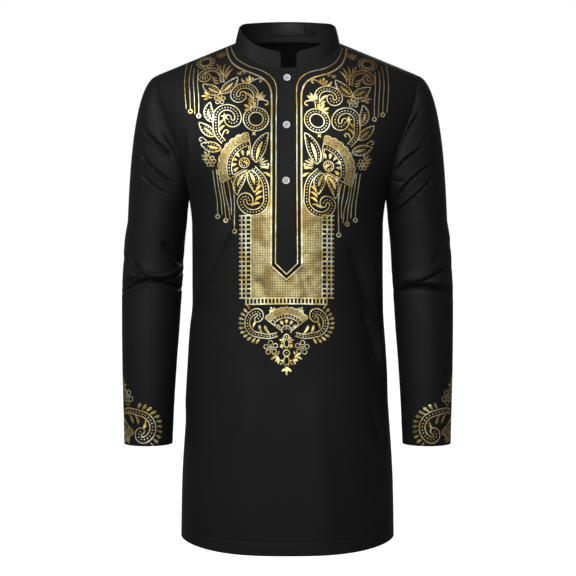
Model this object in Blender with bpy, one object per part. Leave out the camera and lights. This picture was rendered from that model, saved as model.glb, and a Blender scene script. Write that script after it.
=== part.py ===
# A long-sleeved dashiki shirt as it is worn, hollow, with no wearer: front, back, two sleeves, a stand
# collar, a half placket with three buttons, and two small labels inside the back of the neck.
#
# Lengths are in metres, +Z is up and the front of the shirt faces -Y. The origin is the middle of the neck
# opening, level with the two points where the shoulder seams meet the collar. Left and right are the
# wearer's, so the left sleeve is at +X.
#
# Every panel starts as a grid of points on the shirt's outer surface. wall() gives it the cloth's
# thickness. Panels that are sewn together share the points of their seam and stop seamGap apart.

import bmesh
import bpy
import numpy as np
from mathutils import Matrix

mm = 0.001

# Cloth
clothThickness = 1.2 * mm
collarThickness = 1.8 * mm
labelThickness = 1.0 * mm
seamGap = 0.3 * mm

# Body
armpitHeight = -262 * mm
middle = 5 * mm  # the side seams and shoulder seams lie this far behind the origin
roundness = 2.5  # of the body's sections: 2 is an ellipse, more is squarer
neckHalfWidth = 88 * mm
shoulderHalfWidth = 220 * mm
shoulderSlope = 0.41
shoulderRoll = 190 * mm  # the height over which the shoulder rounds down into the chest or the back
chestRoll = 140 * mm  # added to it at the middle of the chest
chestRollWidth = 100 * mm
chestEase = 0.4  # how much flatter the chest rolls than the shoulder does
hemDrop = 5 * mm  # how much lower than level the hem hangs at its middle
hemRise = 14 * mm  # how much higher than that it is at the side seams
hemCurveTop = -700 * mm  # the hem's curve fades out up to here

# Neck and collar
frontNeckDrop = 47 * mm
frontNeckPowers = (2.2, 1.5)  # they make the front neckline flatter in the middle than an ellipse
frontNeckRise = 19 * mm  # the shoulder line carried on to the middle of the neck
backNeckRise = 24 * mm
backNeckDepth = 46 * mm
collarEnds = (-11 * mm, 15 * mm)  # the collar's two ends, right and left of the middle
collarFront = 28.5 * mm
collarBack = 33.8 * mm
collarRise = 25 * mm  # how far behind the shoulder seams the collar reaches its full height
collarCorner = 8 * mm
collarCornerSteps = (0.8 * mm, 2.4 * mm, 4.8 * mm, 8 * mm)
collarLean = 0.25
frontLean = 0.45  # the share of it that the collar leans at the front and the back

# Placket
slitHalfWidth = 2 * mm
placketHalfWidth = 13.5 * mm
placketTop = (1 * mm, -frontNeckDrop)  # x and z of its middle at the neckline
placketTip = (-2 * mm, -385 * mm)  # x and z of its tip; the point begins at the row of bodyRows above it
placketTipShare = 0.06
placketColumns = 5
placketUnderlap = 1.5 * mm  # how far the under placket reaches past it on each side
placketGap = 0.35 * mm
slitEnd = -369 * mm
buttonHeights = (-65 * mm, -144 * mm, -235 * mm)
buttonSide = -1.5 * mm  # from the placket's middle
buttonRadius = 6 * mm
buttonThickness = 2.6 * mm
buttonWell = 4 * mm
buttonWellDepth = 0.7 * mm
buttonHole = 0.6 * mm
threadSpread = 1.3 * mm  # from the button's middle to the middle of each hole
buttonGap = 0.4 * mm

# Labels inside the back of the collar
labelDrop = 3 * mm
labelGap = 0.45 * mm
labelColumns = 7
labelHeight = 20 * mm
neckLabel = (-30 * mm, 30 * mm)
sizeTab = (31 * mm, 49 * mm)

# Sleeves: near the armhole the cloth sets off along capStart plus capTurn, which goes round the armhole
# from the shoulder, and it comes down onto the first level ring along capEnd. Each is outwards, forwards
# and upwards, as a share of the way between the two.
capStart = (0.30, 0, -0.51)
capTurn = (0.16, 0.30, 0.39)
capEnd = (0.05, 0, -1.15)
armholeFacing = (0.35, 0.9, 0.94)  # which way the armhole seam faces: outwards, forwards and upwards
sleeveRingHeight = -300 * mm  # the first level ring below the armhole

# How finely the panels are divided
neckColumns = 7
shoulderColumns = 7
armholeRows = 12
capRows = 7
collarRows = 4


def table(header, rows):
    names = header.split()
    return {name: np.array([row[i] for row in rows]) * mm for i, name in enumerate(names)}


# The body's level sections, from the hem up: half its width, and how far its front and back stand out.
# Above the armpit the section is that of the whole chest, which the armholes then cut.
torso = table("z halfWidth front back", [
    (-844, 182, 124, 123),
    (-745, 180, 122, 122),
    (-609, 171.5, 119, 119),
    (-510, 165.5, 118, 115),
    (-445, 161.5, 118, 112),
    (-309, 161.8, 121, 113),
    (-262, 167, 122, 116),
    (-221, 184, 122, 119),
    (-180, 203, 120, 120),
    (-139, 221, 117, 119),
    (-96, 238, 114, 117),
    (-56, 250, 112, 114),
    (60, 268, 108, 110),
])

# The armhole's edge seen from the front.
armhole = table("z x", [
    (-262, 167),
    (-240, 168.5),
    (-221, 172),
    (-180, 183),
    (-139, 198),
    (-96, 213),
    (-54.1, 220),
])

# The sleeve's level rings: where the middle of the arm is, and half the ring's width and depth.
sleeve = table("z x y halfWidth halfDepth", [
    (-681, 236, -18, 40.8, 39),
    (-609, 235.2, -16, 43.2, 43),
    (-541, 234, -12, 46.2, 48),
    (-473, 232, -6, 49.2, 52),
    (-418, 230.5, 0, 50.8, 55),
    (-391, 229, 3, 51.3, 57),
    (-337, 226, 5, 51.3, 59),
    (-300, 221, 5, 50.4, 61),
])

# Level rows of points on the body below the armpit, and on the sleeve below its first ring.
bodyRows = (-844, -836, -800, -760, -715, -670, -625, -580, -540, -500, -462, -425, -398, -385, -369, -345,
            -318, -295, -277, -268)
sleeveRows = (-322, -340, -353, -363, -371, -378, -385, -392, -399, -406, -413, -420, -428, -438, -454, -478,
              -512, -550, -590, -628, -657, -673, -681)

# The largest folds. Each runs along a line seen from the front, from (x0, z0) to (x1, z1) and bowed
# sideways by bow, on the front (side -1) or the back (side 1) of the cloth. A fold with a negative height is
# a trough. Its ends fade out.
foldColumns = "side x0 z0 x1 z1 bow height width".split()
foldFade = 0.25  # the share of its length over which each end fades
foldEnd = 0.15  # how much of it is left at the very end
foldEdge = 0.35  # how much of it is left where the cloth turns away to the side
foldTurn = 1.5
bodyFolds = [
    (-1, 108, -330, 146, -560, 6, -5, 17),
    (-1, 132, -320, 166, -600, 6, 4, 12),
    (-1, -96, -300, -150, -430, -4, 3, 14),
    (-1, -60, -520, -84, -840, 4, 3, 26),
    (-1, 46, -560, 70, -840, -4, 3, 24),
    (1, -70, -260, -96, -620, 6, -5, 20),
    (1, 64, -280, 92, -640, -6, -4, 20),
    (1, 0, -420, 4, -840, 0, 5, 28),
    (1, -120, -500, -140, -842, 4, 4, 22),
    (1, 116, -520, 142, -842, -4, 4, 22),
    (-1, -163, -440, -174, -640, 0, 6, 26),
]
leftFolds = [
    (-1, 178, -420, 282, -429, 11, -7, 7),
    (-1, 178, -405, 282, -411, 8, 4, 9),
    (-1, 220, -404, 282, -374, 0, -4, 7),
    (-1, 244, -367, 282, -334, 0, -3, 9),
    (1, 178, -404, 282, -398, -6, -4, 10),
    (1, 178, -430, 282, -424, 6, 3, 11),
]
rightFolds = [
    (-1, -282, -414, -176, -417, 15, -7, 7),
    (-1, -282, -399, -176, -402, 11, 4, 9),
    (-1, -282, -360, -238, -388, 0, -4, 7),
    (-1, -208, -338, -174, -376, 0, -3, 8),
    (1, -282, -396, -176, -404, -6, -4, 10),
    (1, -282, -424, -176, -430, 6, 3, 11),
]


def along(sections, column, at):
    # A smooth curve through a table's rows that never overshoots them.
    x, y = sections["z"], sections[column]
    step = np.diff(x)
    slope = np.diff(y) / step
    tangent = np.zeros_like(y)
    tangent[0], tangent[-1] = slope[0], slope[-1]
    for i in range(1, len(y) - 1):
        if slope[i - 1] * slope[i] > 0:
            before, after = 2 * step[i] + step[i - 1], step[i] + 2 * step[i - 1]
            tangent[i] = (before + after) / (before / slope[i - 1] + after / slope[i])
    at = np.clip(at, x[0], x[-1])
    i = np.clip(np.searchsorted(x, at) - 1, 0, len(step) - 1)
    s = (at - x[i]) / step[i]
    start = (1 + 2 * s) * (1 - s) ** 2 * y[i] + s * (1 - s) ** 2 * step[i] * tangent[i]
    return start + s * s * (3 - 2 * s) * y[i + 1] + s * s * (s - 1) * step[i] * tangent[i + 1]


def distance(path):
    # How far along a line of points each one lies.
    return np.concatenate([[0], np.cumsum(np.linalg.norm(np.diff(path, axis=0), axis=-1))])


def unit(vectors):
    return vectors / np.maximum(np.linalg.norm(vectors, axis=-1, keepdims=True), 1e-12)


# ---- the body's surface

def shoulderLine(x, side):
    rise = frontNeckRise if side < 0 else backNeckRise
    away = np.abs(x)
    inside = rise * (1 - (away / neckHalfWidth) ** 2)
    return np.where(away > neckHalfWidth, -shoulderSlope * (away - neckHalfWidth), inside)


def rollOf(x, side):
    # How high and how round the cloth rolls over the shoulder at x.
    chest = np.exp(-((x / chestRollWidth) ** 2)) * (side < 0)
    return shoulderRoll + chestRoll * chest, 2 - chestEase * chest


def bodyDepth(x, z, side):
    share = np.clip(np.abs(x) / along(torso, "halfWidth", z), 0, 1)
    return along(torso, "front" if side < 0 else "back", z) * (1 - share ** roundness) ** (1 / roundness)


def bodyY(x, z, side):
    reach, power = rollOf(x, side)
    drop = np.clip((shoulderLine(x, side) - z) / reach, 0, 1)
    return middle + side * bodyDepth(x, z, side) * (1 - (1 - drop) ** power) ** (1 / power)


def neckline(x, side):
    share = np.clip(np.abs(x) / neckHalfWidth, 0, 1)
    if side < 0:
        flat, steep = frontNeckPowers
        return -frontNeckDrop * (1 - share ** flat) ** (1 / steep)
    # The back of the opening is half an ellipse seen from above, so its height is read off the surface.
    reach, power = rollOf(x, side)
    lean = np.clip(backNeckDepth * np.sqrt(1 - share ** 2) / bodyDepth(x, 0 * x, side), 0, 1)
    return shoulderLine(x, side) - reach * (1 - (1 - lean ** power) ** (1 / power))


def topColumns(end):
    # How far out each column meets the neckline or the shoulder seam, from the middle to the armhole.
    first, last = np.arcsin(abs(end) / neckHalfWidth), np.pi / 2
    neck = neckHalfWidth * np.sin(np.linspace(first, last, neckColumns - 1))
    shoulder = np.linspace(neckHalfWidth, shoulderHalfWidth, shoulderColumns + 1)[1:]
    return np.concatenate([[0, slitHalfWidth], neck, shoulder])


def levelColumns(z, end):
    # The same columns where they cross the level z: the first three run straight down, and the rest share
    # the cloth between them and the side seam evenly.
    edge = along(torso, "halfWidth", z)
    fine = abs(end) + (edge - abs(end)) * np.sin(np.linspace(0, np.pi / 2, 400))
    y = bodyY(fine, np.full_like(fine, z), -1)
    length = distance(np.stack([fine, y], axis=-1))
    even = np.linspace(0, length[-1], neckColumns + shoulderColumns - 1)
    return np.concatenate([[0, slitHalfWidth], np.interp(even, length, fine)])


def hemShift(x, z):
    low = np.clip((hemCurveTop - z) / (hemCurveTop - torso["z"][0]), 0, 1)
    return (hemRise * (np.abs(x) / torso["halfWidth"][0]) ** 3 - hemDrop) * low * low * (3 - 2 * low)


def halfPanel(side, hand):
    end = collarEnds[1] if hand > 0 else collarEnds[0]
    top = topColumns(end)
    rows = []
    for z in bodyRows:
        x = levelColumns(z * mm, end)
        rows.append((hand * x, np.full_like(x, z * mm)))
    low = levelColumns(armpitHeight, end)
    shoulderTip = -shoulderSlope * (shoulderHalfWidth - neckHalfWidth)
    for share in (1 - np.cos(np.linspace(0, np.pi, armholeRows + 1))) / 2:
        edge = along(armhole, "x", armpitHeight + share * (shoulderTip - armpitHeight))
        x = edge * (low / low[-1] * (1 - share) + top / top[-1] * share)
        x[:3] = low[:3] * (1 - share) + top[:3] * share
        meets = np.where(top > neckHalfWidth, shoulderLine(top, side), neckline(top, side))
        rows.append((hand * x, armpitHeight + (meets - armpitHeight) * share))
    x = np.array([row[0] for row in rows])
    z = np.array([row[1] for row in rows])
    return np.stack([x, bodyY(x, z, side), z + hemShift(x, z)], axis=-1)


def bodyPanel(side):
    right, left = halfPanel(side, -1), halfPanel(side, 1)
    return np.concatenate([right[:, :0:-1], left], axis=1)


# ---- the sleeve's surface

def sleeveSurface(hand, back, front):
    # The armhole's points run from the shoulder down the front to the armpit and up the back.
    hole = np.concatenate([front[::-1], back[1:-1]])
    angle = np.linspace(0, 2 * np.pi, len(hole), endpoint=False)
    around = np.stack([hand * np.cos(angle), -np.sin(angle)], axis=-1)

    def ring(z):
        x, y = along(sleeve, "x", z), along(sleeve, "y", z)
        across, deep = along(sleeve, "halfWidth", z), along(sleeve, "halfDepth", z)
        level = np.full(len(hole), z)
        return np.stack([hand * x + around[:, 0] * across, y + around[:, 1] * deep, level], axis=-1)

    first = ring(sleeveRingHeight)
    chord = np.linalg.norm(first - hole, axis=1)[:, None]
    axes = np.array([hand, -1, 1])
    turn = np.stack([np.cos(angle), np.sin(angle), np.cos(angle)], axis=-1)
    start, end = (np.array(capStart) + turn * capTurn) * axes, np.array(capEnd) * axes
    rows = []
    for s in np.linspace(0, 1, capRows + 1):
        blend = s * s * (3 - 2 * s)
        reach = s * (1 - s) ** 2 * start * chord + s * s * (s - 1) * end * chord
        rows.append(hole * (1 - blend) + first * blend + reach)
    rows += [ring(z * mm) for z in sleeveRows]
    return np.array(rows), angle


def armholeOut(angle, hand):
    # It faces up at the shoulder, forward and back at its sides, and down at the armpit.
    out, forward, up = armholeFacing
    level = np.full_like(angle, hand * out)
    return unit(np.stack([level, -forward * np.sin(angle), up * np.cos(angle)], axis=-1))


# ---- cloth

def facing(grid, closed=False):
    # Unit normals of a grid of points: across its columns times up its rows.
    if closed:
        wide = np.concatenate([grid[:, -1:], grid, grid[:, :1]], axis=1)
        across = wide[:, 2:] - wide[:, :-2]
    else:
        across = np.gradient(grid, axis=1)
    return unit(np.cross(across, np.gradient(grid, axis=0)))


def folded(grid, outward, folds):
    moved = grid.copy()
    for row in folds:
        fold = dict(zip(foldColumns, row))
        start, end = np.array([fold["x0"], fold["z0"]]) * mm, np.array([fold["x1"], fold["z1"]]) * mm
        run = end - start
        length = np.linalg.norm(run)
        run = run / length
        cross = np.array([-run[1], run[0]])
        seen = grid[..., [0, 2]] - start
        t = seen @ run / length
        off = seen @ cross - fold["bow"] * mm * 4 * t * (1 - t)
        fade = np.clip(np.minimum(t, 1 - t) / foldFade + foldEnd, 0, 1)
        fade = fade * fade * (3 - 2 * fade)
        side = np.clip(foldEdge + fold["side"] * outward[..., 1] * foldTurn, 0, 1)
        height = fold["height"] * mm * np.exp(-((off / (fold["width"] * mm)) ** 2)) * fade * side
        moved += outward * height[..., None]
    return moved


def wall(name, outer, inward, thickness, material, closed=False, keep=None):
    # A closed solid between a grid of outer points and the same points moved inward. Each cell is split
    # along its shorter diagonal, the same one on both sides, so that the two sides never cross.
    rows, columns = outer.shape[:2]
    count = rows * columns
    skin = []
    for i in range(rows - 1):
        for j in range(columns if closed else columns - 1):
            if keep is None or keep[i][j]:
                k = (j + 1) % columns
                a, b, c, d = outer[i, j], outer[i, k], outer[i + 1, k], outer[i + 1, j]
                at = [i * columns + j, i * columns + k, (i + 1) * columns + k, (i + 1) * columns + j]
                if np.linalg.norm(a - c) > np.linalg.norm(b - d):
                    at = at[1:] + at[:1]
                skin += [(at[0], at[1], at[2]), (at[0], at[2], at[3])]
    sides = {(face[n], face[(n + 1) % 3]) for face in skin for n in range(3)}
    rim = [(b, a, a + count, b + count) for a, b in sides if (b, a) not in sides]
    inner = [tuple(n + count for n in reversed(face)) for face in skin]
    points = np.concatenate([outer.reshape(-1, 3), (outer + inward * thickness).reshape(-1, 3)])
    mesh = bpy.data.meshes.new(name)
    mesh.from_pydata([tuple(p) for p in points.tolist()], [], skin + rim + inner)
    shape = bmesh.new()
    shape.from_mesh(mesh)
    bmesh.ops.delete(shape, geom=[v for v in shape.verts if not v.link_faces], context="VERTS")
    bmesh.ops.recalc_face_normals(shape, faces=shape.faces)
    shape.to_mesh(mesh)
    shape.free()
    return addObject(name, mesh, material)


def addObject(name, mesh, material):
    obj = bpy.data.objects.new(name, mesh)
    bpy.context.scene.collection.objects.link(obj)
    mesh.materials.append(material)
    mesh.shade_smooth()
    mesh.set_sharp_from_angle(angle=np.radians(40))
    return obj


def pulledBack(grid, edge, towards):
    # Moves a seam's points half the gap towards the row or column beside them.
    grid[edge] += unit(grid[towards] - grid[edge]) * seamGap / 2


def finish(name, colour, roughness):
    material = bpy.data.materials.new(name)
    material.use_nodes = True
    shader = material.node_tree.nodes["Principled BSDF"]
    shader.inputs["Base Color"].default_value = (*colour, 1)
    shader.inputs["Roughness"].default_value = roughness
    shader.inputs["Metallic"].default_value = 0
    return material


# ---- the pieces

def makeBody(name, side, grid, material):
    top = len(bodyRows)
    outward = facing(grid) * -side
    outward[:top, 0], outward[:top, -1] = (-1, 0, 0), (1, 0, 0)
    grid = folded(grid, outward, bodyFolds)
    inward = -outward
    for edge, beside, hand in ((0, 1, -1), (-1, -2, 1)):
        # The side seam, then the armhole, then the shoulder seam.
        inward[:top, edge] = (-hand, 0, 0)
        inward[top:, edge] = -armholeOut(np.linspace(np.pi, 0, armholeRows + 1) * -side, hand)
        run = unit(np.gradient(grid[top:, edge], axis=0))
        run[0] = (0, side, 0)
        into = unit(np.cross(run, inward[top:, edge]))
        into *= np.sign(((grid[top:, beside] - grid[top:, edge]) * into).sum())
        pulledBack(grid, (slice(0, top + 1), edge), (slice(0, top + 1), beside))
        grid[top:, edge] += into * seamGap / 2
        columns = slice(0, shoulderColumns + 1) if hand < 0 else slice(-shoulderColumns - 1, None)
        inner = slice(1, shoulderColumns + 1) if hand < 0 else slice(-shoulderColumns - 1, -1)
        inward[-1, inner] = unit(np.array([-hand * shoulderSlope, 0, -1.0]))
        pulledBack(grid, (-1, columns), (-2, columns))
    around = slice(shoulderColumns + 1, -shoulderColumns - 1)
    level = grid[-1, around] - np.array([0, middle, 0])
    level[:, 2] = 0
    inward[-1, around] = unit(inward[-1, around] - unit(level))
    keep = np.ones((len(grid) - 1, grid.shape[1] - 1), bool)
    if side < 0:
        centre = neckColumns + shoulderColumns
        keep[bodyRows.index(round(slitEnd / mm)):, centre - 1:centre + 1] = False
    wall(name, grid, inward, clothThickness, material, keep=keep)


def makeSleeve(name, hand, front, back, folds, material):
    top = len(bodyRows)
    column = -1 if hand > 0 else 0
    grid, angle = sleeveSurface(hand, back[top:, column], front[top:, column])
    outward = facing(grid, closed=True)
    outward *= np.sign(outward[-1, 0, 0] * hand)
    grid = folded(grid, outward, folds)
    inward = -outward
    inward[0] = -armholeOut(angle, hand)
    pulledBack(grid, 0, 1)
    return wall(name, grid, inward, clothThickness, material, closed=True)


def collarPath(front, back):
    # The neckline from the collar's right end, round the back of the neck, to its left end.
    centre = neckColumns + shoulderColumns
    rightFront = front[-1, centre - neckColumns:centre - 1][::-1]
    leftFront = front[-1, centre + 2:centre + neckColumns + 1][::-1]
    behind = back[-1, centre - neckColumns + 1:centre + neckColumns]
    return np.concatenate([rightFront, behind, leftFront])


def makeCollar(path, material):
    # It rises from the neckline, and has extra points near its two ends for their round corners.
    at = distance(path)
    extra = np.array(collarCornerSteps)
    wanted = np.sort(np.concatenate([at, extra, at[-1] - extra]))
    path = np.stack([np.interp(wanted, at, path[:, k]) for k in range(3)], axis=-1)
    fromMiddle = path - np.array([0, middle, 0])
    tangent = np.gradient(path, axis=0)
    out = unit(np.stack([-tangent[:, 1], tangent[:, 0], 0 * wanted], axis=-1))
    out *= np.sign((out * fromMiddle).sum(axis=1))[:, None]
    lean = collarLean * (frontLean + (1 - frontLean) * np.abs(out[:, :1]))
    rise = unit(-out * lean + np.array([0, 0, 1.0]))
    share = np.clip(fromMiddle[:, 1] / collarRise, 0, 1)
    height = collarFront + (collarBack - collarFront) * share * share * (3 - 2 * share)
    inCorner = np.clip(collarCorner - np.minimum(wanted, wanted[-1] - wanted), 0, collarCorner)
    height += np.sqrt(collarCorner ** 2 - inCorner ** 2) - collarCorner
    shares = np.linspace(0, 1, collarRows + 1)
    grid = np.array([path + rise * (seamGap + height[:, None] * share) for share in shares])
    inward = np.repeat(-out[None], len(shares), axis=0)
    wall("collar", grid, inward, collarThickness, material)
    return grid, inward


def placketMiddle(z):
    share = (z - placketTip[1]) / (placketTop[1] - placketTip[1])
    return placketTip[0] + (placketTop[0] - placketTip[0]) * share


def frontStrip(halfWidth, lift, tipShare=1):
    # A strip of points down the middle of the front, lifted off it, from the placket's tip to the neckline.
    x = np.linspace(-halfWidth, halfWidth, placketColumns)
    low = [z * mm for z in bodyRows if z >= round(placketTip[1] / mm)]
    heights = [np.full_like(x, z) for z in low]
    for share in (1 - np.cos(np.linspace(0, np.pi, armholeRows + 1))) / 2:
        heights.append(armpitHeight + (neckline(x, -1) - armpitHeight) * share)
    z = np.array(heights)
    x = np.repeat(x[None], len(z), axis=0)
    x[0] *= tipShare
    x += placketMiddle(z)
    grid = np.stack([x, bodyY(x, z, -1), z], axis=-1)
    outward = facing(grid)
    outward *= -np.sign(outward[..., 1:2])
    return grid + outward * lift, -outward


def makePlacket(material):
    lift = placketGap + clothThickness
    over, inward = frontStrip(placketHalfWidth, lift, placketTipShare)
    pulledBack(over, -1, -2)
    wall("placket", over, inward, clothThickness, material)
    under, inward = frontStrip(placketHalfWidth + placketUnderlap, -lift)
    pulledBack(under, -1, -2)
    wall("under_placket", under, inward, clothThickness, material)


def buttonMesh():
    # A turned disc with a raised rim and four holes, its back at the origin. It is cut while it is a
    # thousand times too big, where the cuts come out cleaner, and then made its real size.
    rim, well, thick = buttonRadius / mm, buttonWell / mm, buttonThickness / mm
    floor = thick - buttonWellDepth / mm
    profile = [(0, 0), (rim * 0.86, 0), (rim, 0.7), (rim, thick - 0.5), (rim * 0.9, thick)]
    profile += [(well * 1.08, thick), (well, floor), (0, floor)]
    shape = bmesh.new()
    verts = [shape.verts.new((radius, 0, height)) for radius, height in profile]
    edges = [shape.edges.new(pair) for pair in zip(verts, verts[1:])]
    bmesh.ops.spin(shape, geom=verts + edges, cent=(0, 0, 0), axis=(0, 0, 1), angle=2 * np.pi, steps=24)
    bmesh.ops.remove_doubles(shape, verts=shape.verts, dist=0.01)
    bmesh.ops.recalc_face_normals(shape, faces=shape.faces)
    mesh = bpy.data.meshes.new("button")
    shape.to_mesh(mesh)
    shape.free()
    blank = bpy.data.objects.new("blank", mesh)
    bpy.context.scene.collection.objects.link(blank)
    for turn in range(4):
        angle = np.pi / 4 + turn * np.pi / 2
        place = np.array([np.cos(angle), np.sin(angle), 0]) * threadSpread / mm + [0, 0, thick / 2]
        hole = {"vertices": 8, "radius": buttonHole / mm, "depth": 2 * thick}
        bpy.ops.mesh.primitive_cylinder_add(location=place, **hole)
        drill = bpy.context.object
        cut = blank.modifiers.new("hole", "BOOLEAN")
        cut.operation = "DIFFERENCE"
        cut.object = drill
        bpy.context.view_layer.objects.active = blank
        bpy.ops.object.modifier_apply(modifier=cut.name)
        bpy.data.objects.remove(drill, do_unlink=True)
    bpy.data.objects.remove(blank, do_unlink=True)
    mesh.transform(Matrix.Scale(mm, 4))
    return mesh


def makeButton(name, height, mesh, material):
    # It stands on the placket, square to the cloth there.
    x = placketMiddle(height) + buttonSide
    low, high = bodyY(x, height - buttonRadius, -1), bodyY(x, height + buttonRadius, -1)
    normal = unit(np.array([0, -2 * buttonRadius, high - low]))
    lift = placketGap + clothThickness + buttonGap
    button = addObject(name, mesh.copy(), material)
    button.location = np.array([x, bodyY(x, height, -1), height]) + normal * lift
    button.rotation_euler = (np.arctan2(-normal[1], normal[2]), 0, 0)


def makeLabel(name, span, collar, inward, material):
    # A flat tape on the inside of the collar, hung from its top edge.
    behind = collar[0, :, 1] > middle + backNeckDepth / 4
    order = np.argsort(collar[0, behind, 0])
    bottom, top, into = (points[behind][order] for points in (collar[0], collar[-1], inward[0]))

    def atX(points, x):
        return np.stack([np.interp(x, bottom[:, 0], points[:, k]) for k in range(3)], axis=-1)

    x = np.linspace(*span, labelColumns)
    down = unit(atX(bottom, x) - atX(top, x))
    hung = atX(top, x) + unit(atX(into, x)) * (collarThickness + labelGap)
    grid = np.array([hung + down * (labelDrop + labelHeight), hung + down * labelDrop])
    wall(name, grid, np.broadcast_to(np.array([0, -1.0, 0]), grid.shape), labelThickness, material)


def main():
    for obj in list(bpy.data.objects):
        bpy.data.objects.remove(obj, do_unlink=True)
    black = finish("black cloth", (0.016, 0.016, 0.017), 0.62)
    white = finish("white button", (0.85, 0.85, 0.83), 0.25)
    satin = finish("black label", (0.006, 0.006, 0.006), 0.4)

    frontGrid, backGrid = bodyPanel(-1), bodyPanel(1)
    path = collarPath(frontGrid, backGrid)
    makeBody("front", -1, frontGrid, black)
    makeBody("back", 1, backGrid, black)
    makeSleeve("sleeve_left", 1, frontGrid, backGrid, leftFolds, black)
    makeSleeve("sleeve_right", -1, frontGrid, backGrid, rightFolds, black)
    collar, collarInward = makeCollar(path, black)
    makePlacket(black)
    button = buttonMesh()
    for number, height in enumerate(buttonHeights, 1):
        makeButton(f"button_{number}", height, button, white)
    makeLabel("neck_label", neckLabel, collar, collarInward, satin)
    makeLabel("size_tab", sizeTab, collar, collarInward, satin)


main()
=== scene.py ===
import bmesh
import bpy
import numpy as np
from mathutils import Matrix, Vector
from mathutils.bvhtree import BVHTree


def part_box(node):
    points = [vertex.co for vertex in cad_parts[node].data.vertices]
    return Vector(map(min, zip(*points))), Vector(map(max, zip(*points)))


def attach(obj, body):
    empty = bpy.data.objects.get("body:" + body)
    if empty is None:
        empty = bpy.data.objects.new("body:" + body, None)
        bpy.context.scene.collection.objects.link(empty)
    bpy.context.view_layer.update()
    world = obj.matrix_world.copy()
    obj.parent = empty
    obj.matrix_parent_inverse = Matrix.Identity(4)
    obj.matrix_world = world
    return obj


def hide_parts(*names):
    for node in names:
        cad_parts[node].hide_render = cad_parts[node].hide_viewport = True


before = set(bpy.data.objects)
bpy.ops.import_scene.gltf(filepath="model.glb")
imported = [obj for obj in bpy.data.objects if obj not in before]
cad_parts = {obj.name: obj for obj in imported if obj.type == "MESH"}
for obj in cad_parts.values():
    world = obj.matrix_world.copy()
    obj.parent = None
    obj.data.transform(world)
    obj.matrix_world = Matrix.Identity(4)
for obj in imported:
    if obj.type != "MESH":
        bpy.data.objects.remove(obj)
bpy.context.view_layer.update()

# A long-sleeved dashiki shirt, hollow as it is worn. Left and right are the wearer's, and the front faces -Y.
# Lengths are in millimetres until a mesh is made, when they become metres.
mm = 0.001

body = {
    "armpit": -262,
    "middle": 5,  # the side and shoulder seams lie this far behind the origin
    "roundness": 2.5,
    "neckHalfWidth": 88,
    "shoulderHalfWidth": 220,
    "shoulderSlope": 0.41,
    "shoulderRoll": 190,
    "chestRoll": 140,
    "chestRollWidth": 100,
    "chestEase": 0.4,
    "frontNeckDrop": 47,
    "frontNeckPowers": (2.2, 1.5),
    "frontNeckRise": 19,
    "backNeckRise": 24,
    "backNeckDepth": 46,
    "slitHalfWidth": 2,
    "slitEnd": -369,
    "hemLine": 22,  # stitching above the hem
    "hemDrop": 5,  # the hem hangs lower than level at its middle
    "hemRise": 14,  # and this much higher at the side seams
    "hemCurveTop": -700,
    "cloth": 0.6,
    "seamLap": 0.15,  # how far the two panels pass each other in the shoulder seam
    "seamSteps": (0.2, 0.45, 0.7),  # rows or columns beside a seam, as shares of the first step
    "hemSteps": (0, 0.5, 1.2, 3),
    "hemRows": (6, 5),  # where the even rows below the stitching start, and how many there are
    "lineSteps": (-0.8, 0, 0.8),
    "aboveLine": 1.8,
    "doubledFrom": (1, -0.2),  # the turned-up cloth ends between these two, above the stitching
    "smoothTo": 40,  # degrees between faces that still look smooth
    "roundFrom": 50,
    # How deep the cloth sinks at its stitching and seams, and how wide the groove is.
    "hemGroove": (0.35, 1.0),
    "sideGroove": (0.4, 1.1),
    "shoulderGroove": (0.7, 1.4),
    "armholeGroove": (0.35, 1.0),
    "rowStep": 3,
    "fineSteps": 400,
    "armholeRows": 64,
    "neckColumns": 28,
    "shoulderColumns": 44,
}
collar = {
    "ends": (-11, 15),
    "front": 28.5,
    "back": 33.8,
    "rise": 25,
    "corner": 8,
    "lean": 0.25,
    "frontLean": 0.45,
    "thickness": 1.7,
    "puff": 0.35,
    "proud": 0.3,
    "lap": 0.9,
    "edge": 0.55,
    "stitchIn": 2.2,
    "groove": (0.2, 0.9),
    "frontSteps": 44,
    "backSteps": 110,
    "cornerSteps": 9,
    "columns": 190,
    "rows": 15,
    "endSteps": 12,
}
placket = {
    "halfWidth": 13.5,
    "top": (1, -47),
    "tip": (-2, -385),
    "pointStart": -369,
    "lift": 1.55,
    "thickness": 0.9,
    "underlap": 1.5,
    "edge": 0.28,
    "stitchIn": 2.2,
    "groove": (0.25, 0.8),
    "rowStep": 4,
    "rowsEnd": -60,
    "topRows": (0.35, 0.7, 1),  # shares of the way from the last level row to the neckline
    "pointRows": 6,
    "pointShare": 0.04,
    "columns": (-0.66, 0.66, 9),
    "edgeColumns": (0.78, 0.84, 0.9, 0.96, 1),
    "boxTop": -346,
    "stitchTop": 6,
    "stitchPoint": 1.4,  # how many times as far in the stitching is at the tip
    "stitchRows": 120,
    "boxSteps": 9,
}
sleeves = {
    "capStart": (0.30, 0, -0.51),
    "capTurn": (0.16, 0.30, 0.39),
    "capEnd": (0.05, 0, -1.15),
    "armholeFacing": (0.35, 0.9, 0.94),
    "ringHeight": -300,
    "end": -677,
    "capRows": 80,
    "rowStep": 2,
    "foldsFrom": 9,  # the folds fade out within this much of the armhole
    "hemLine": 17,
    "hemRows": (5, 4),
}

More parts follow.
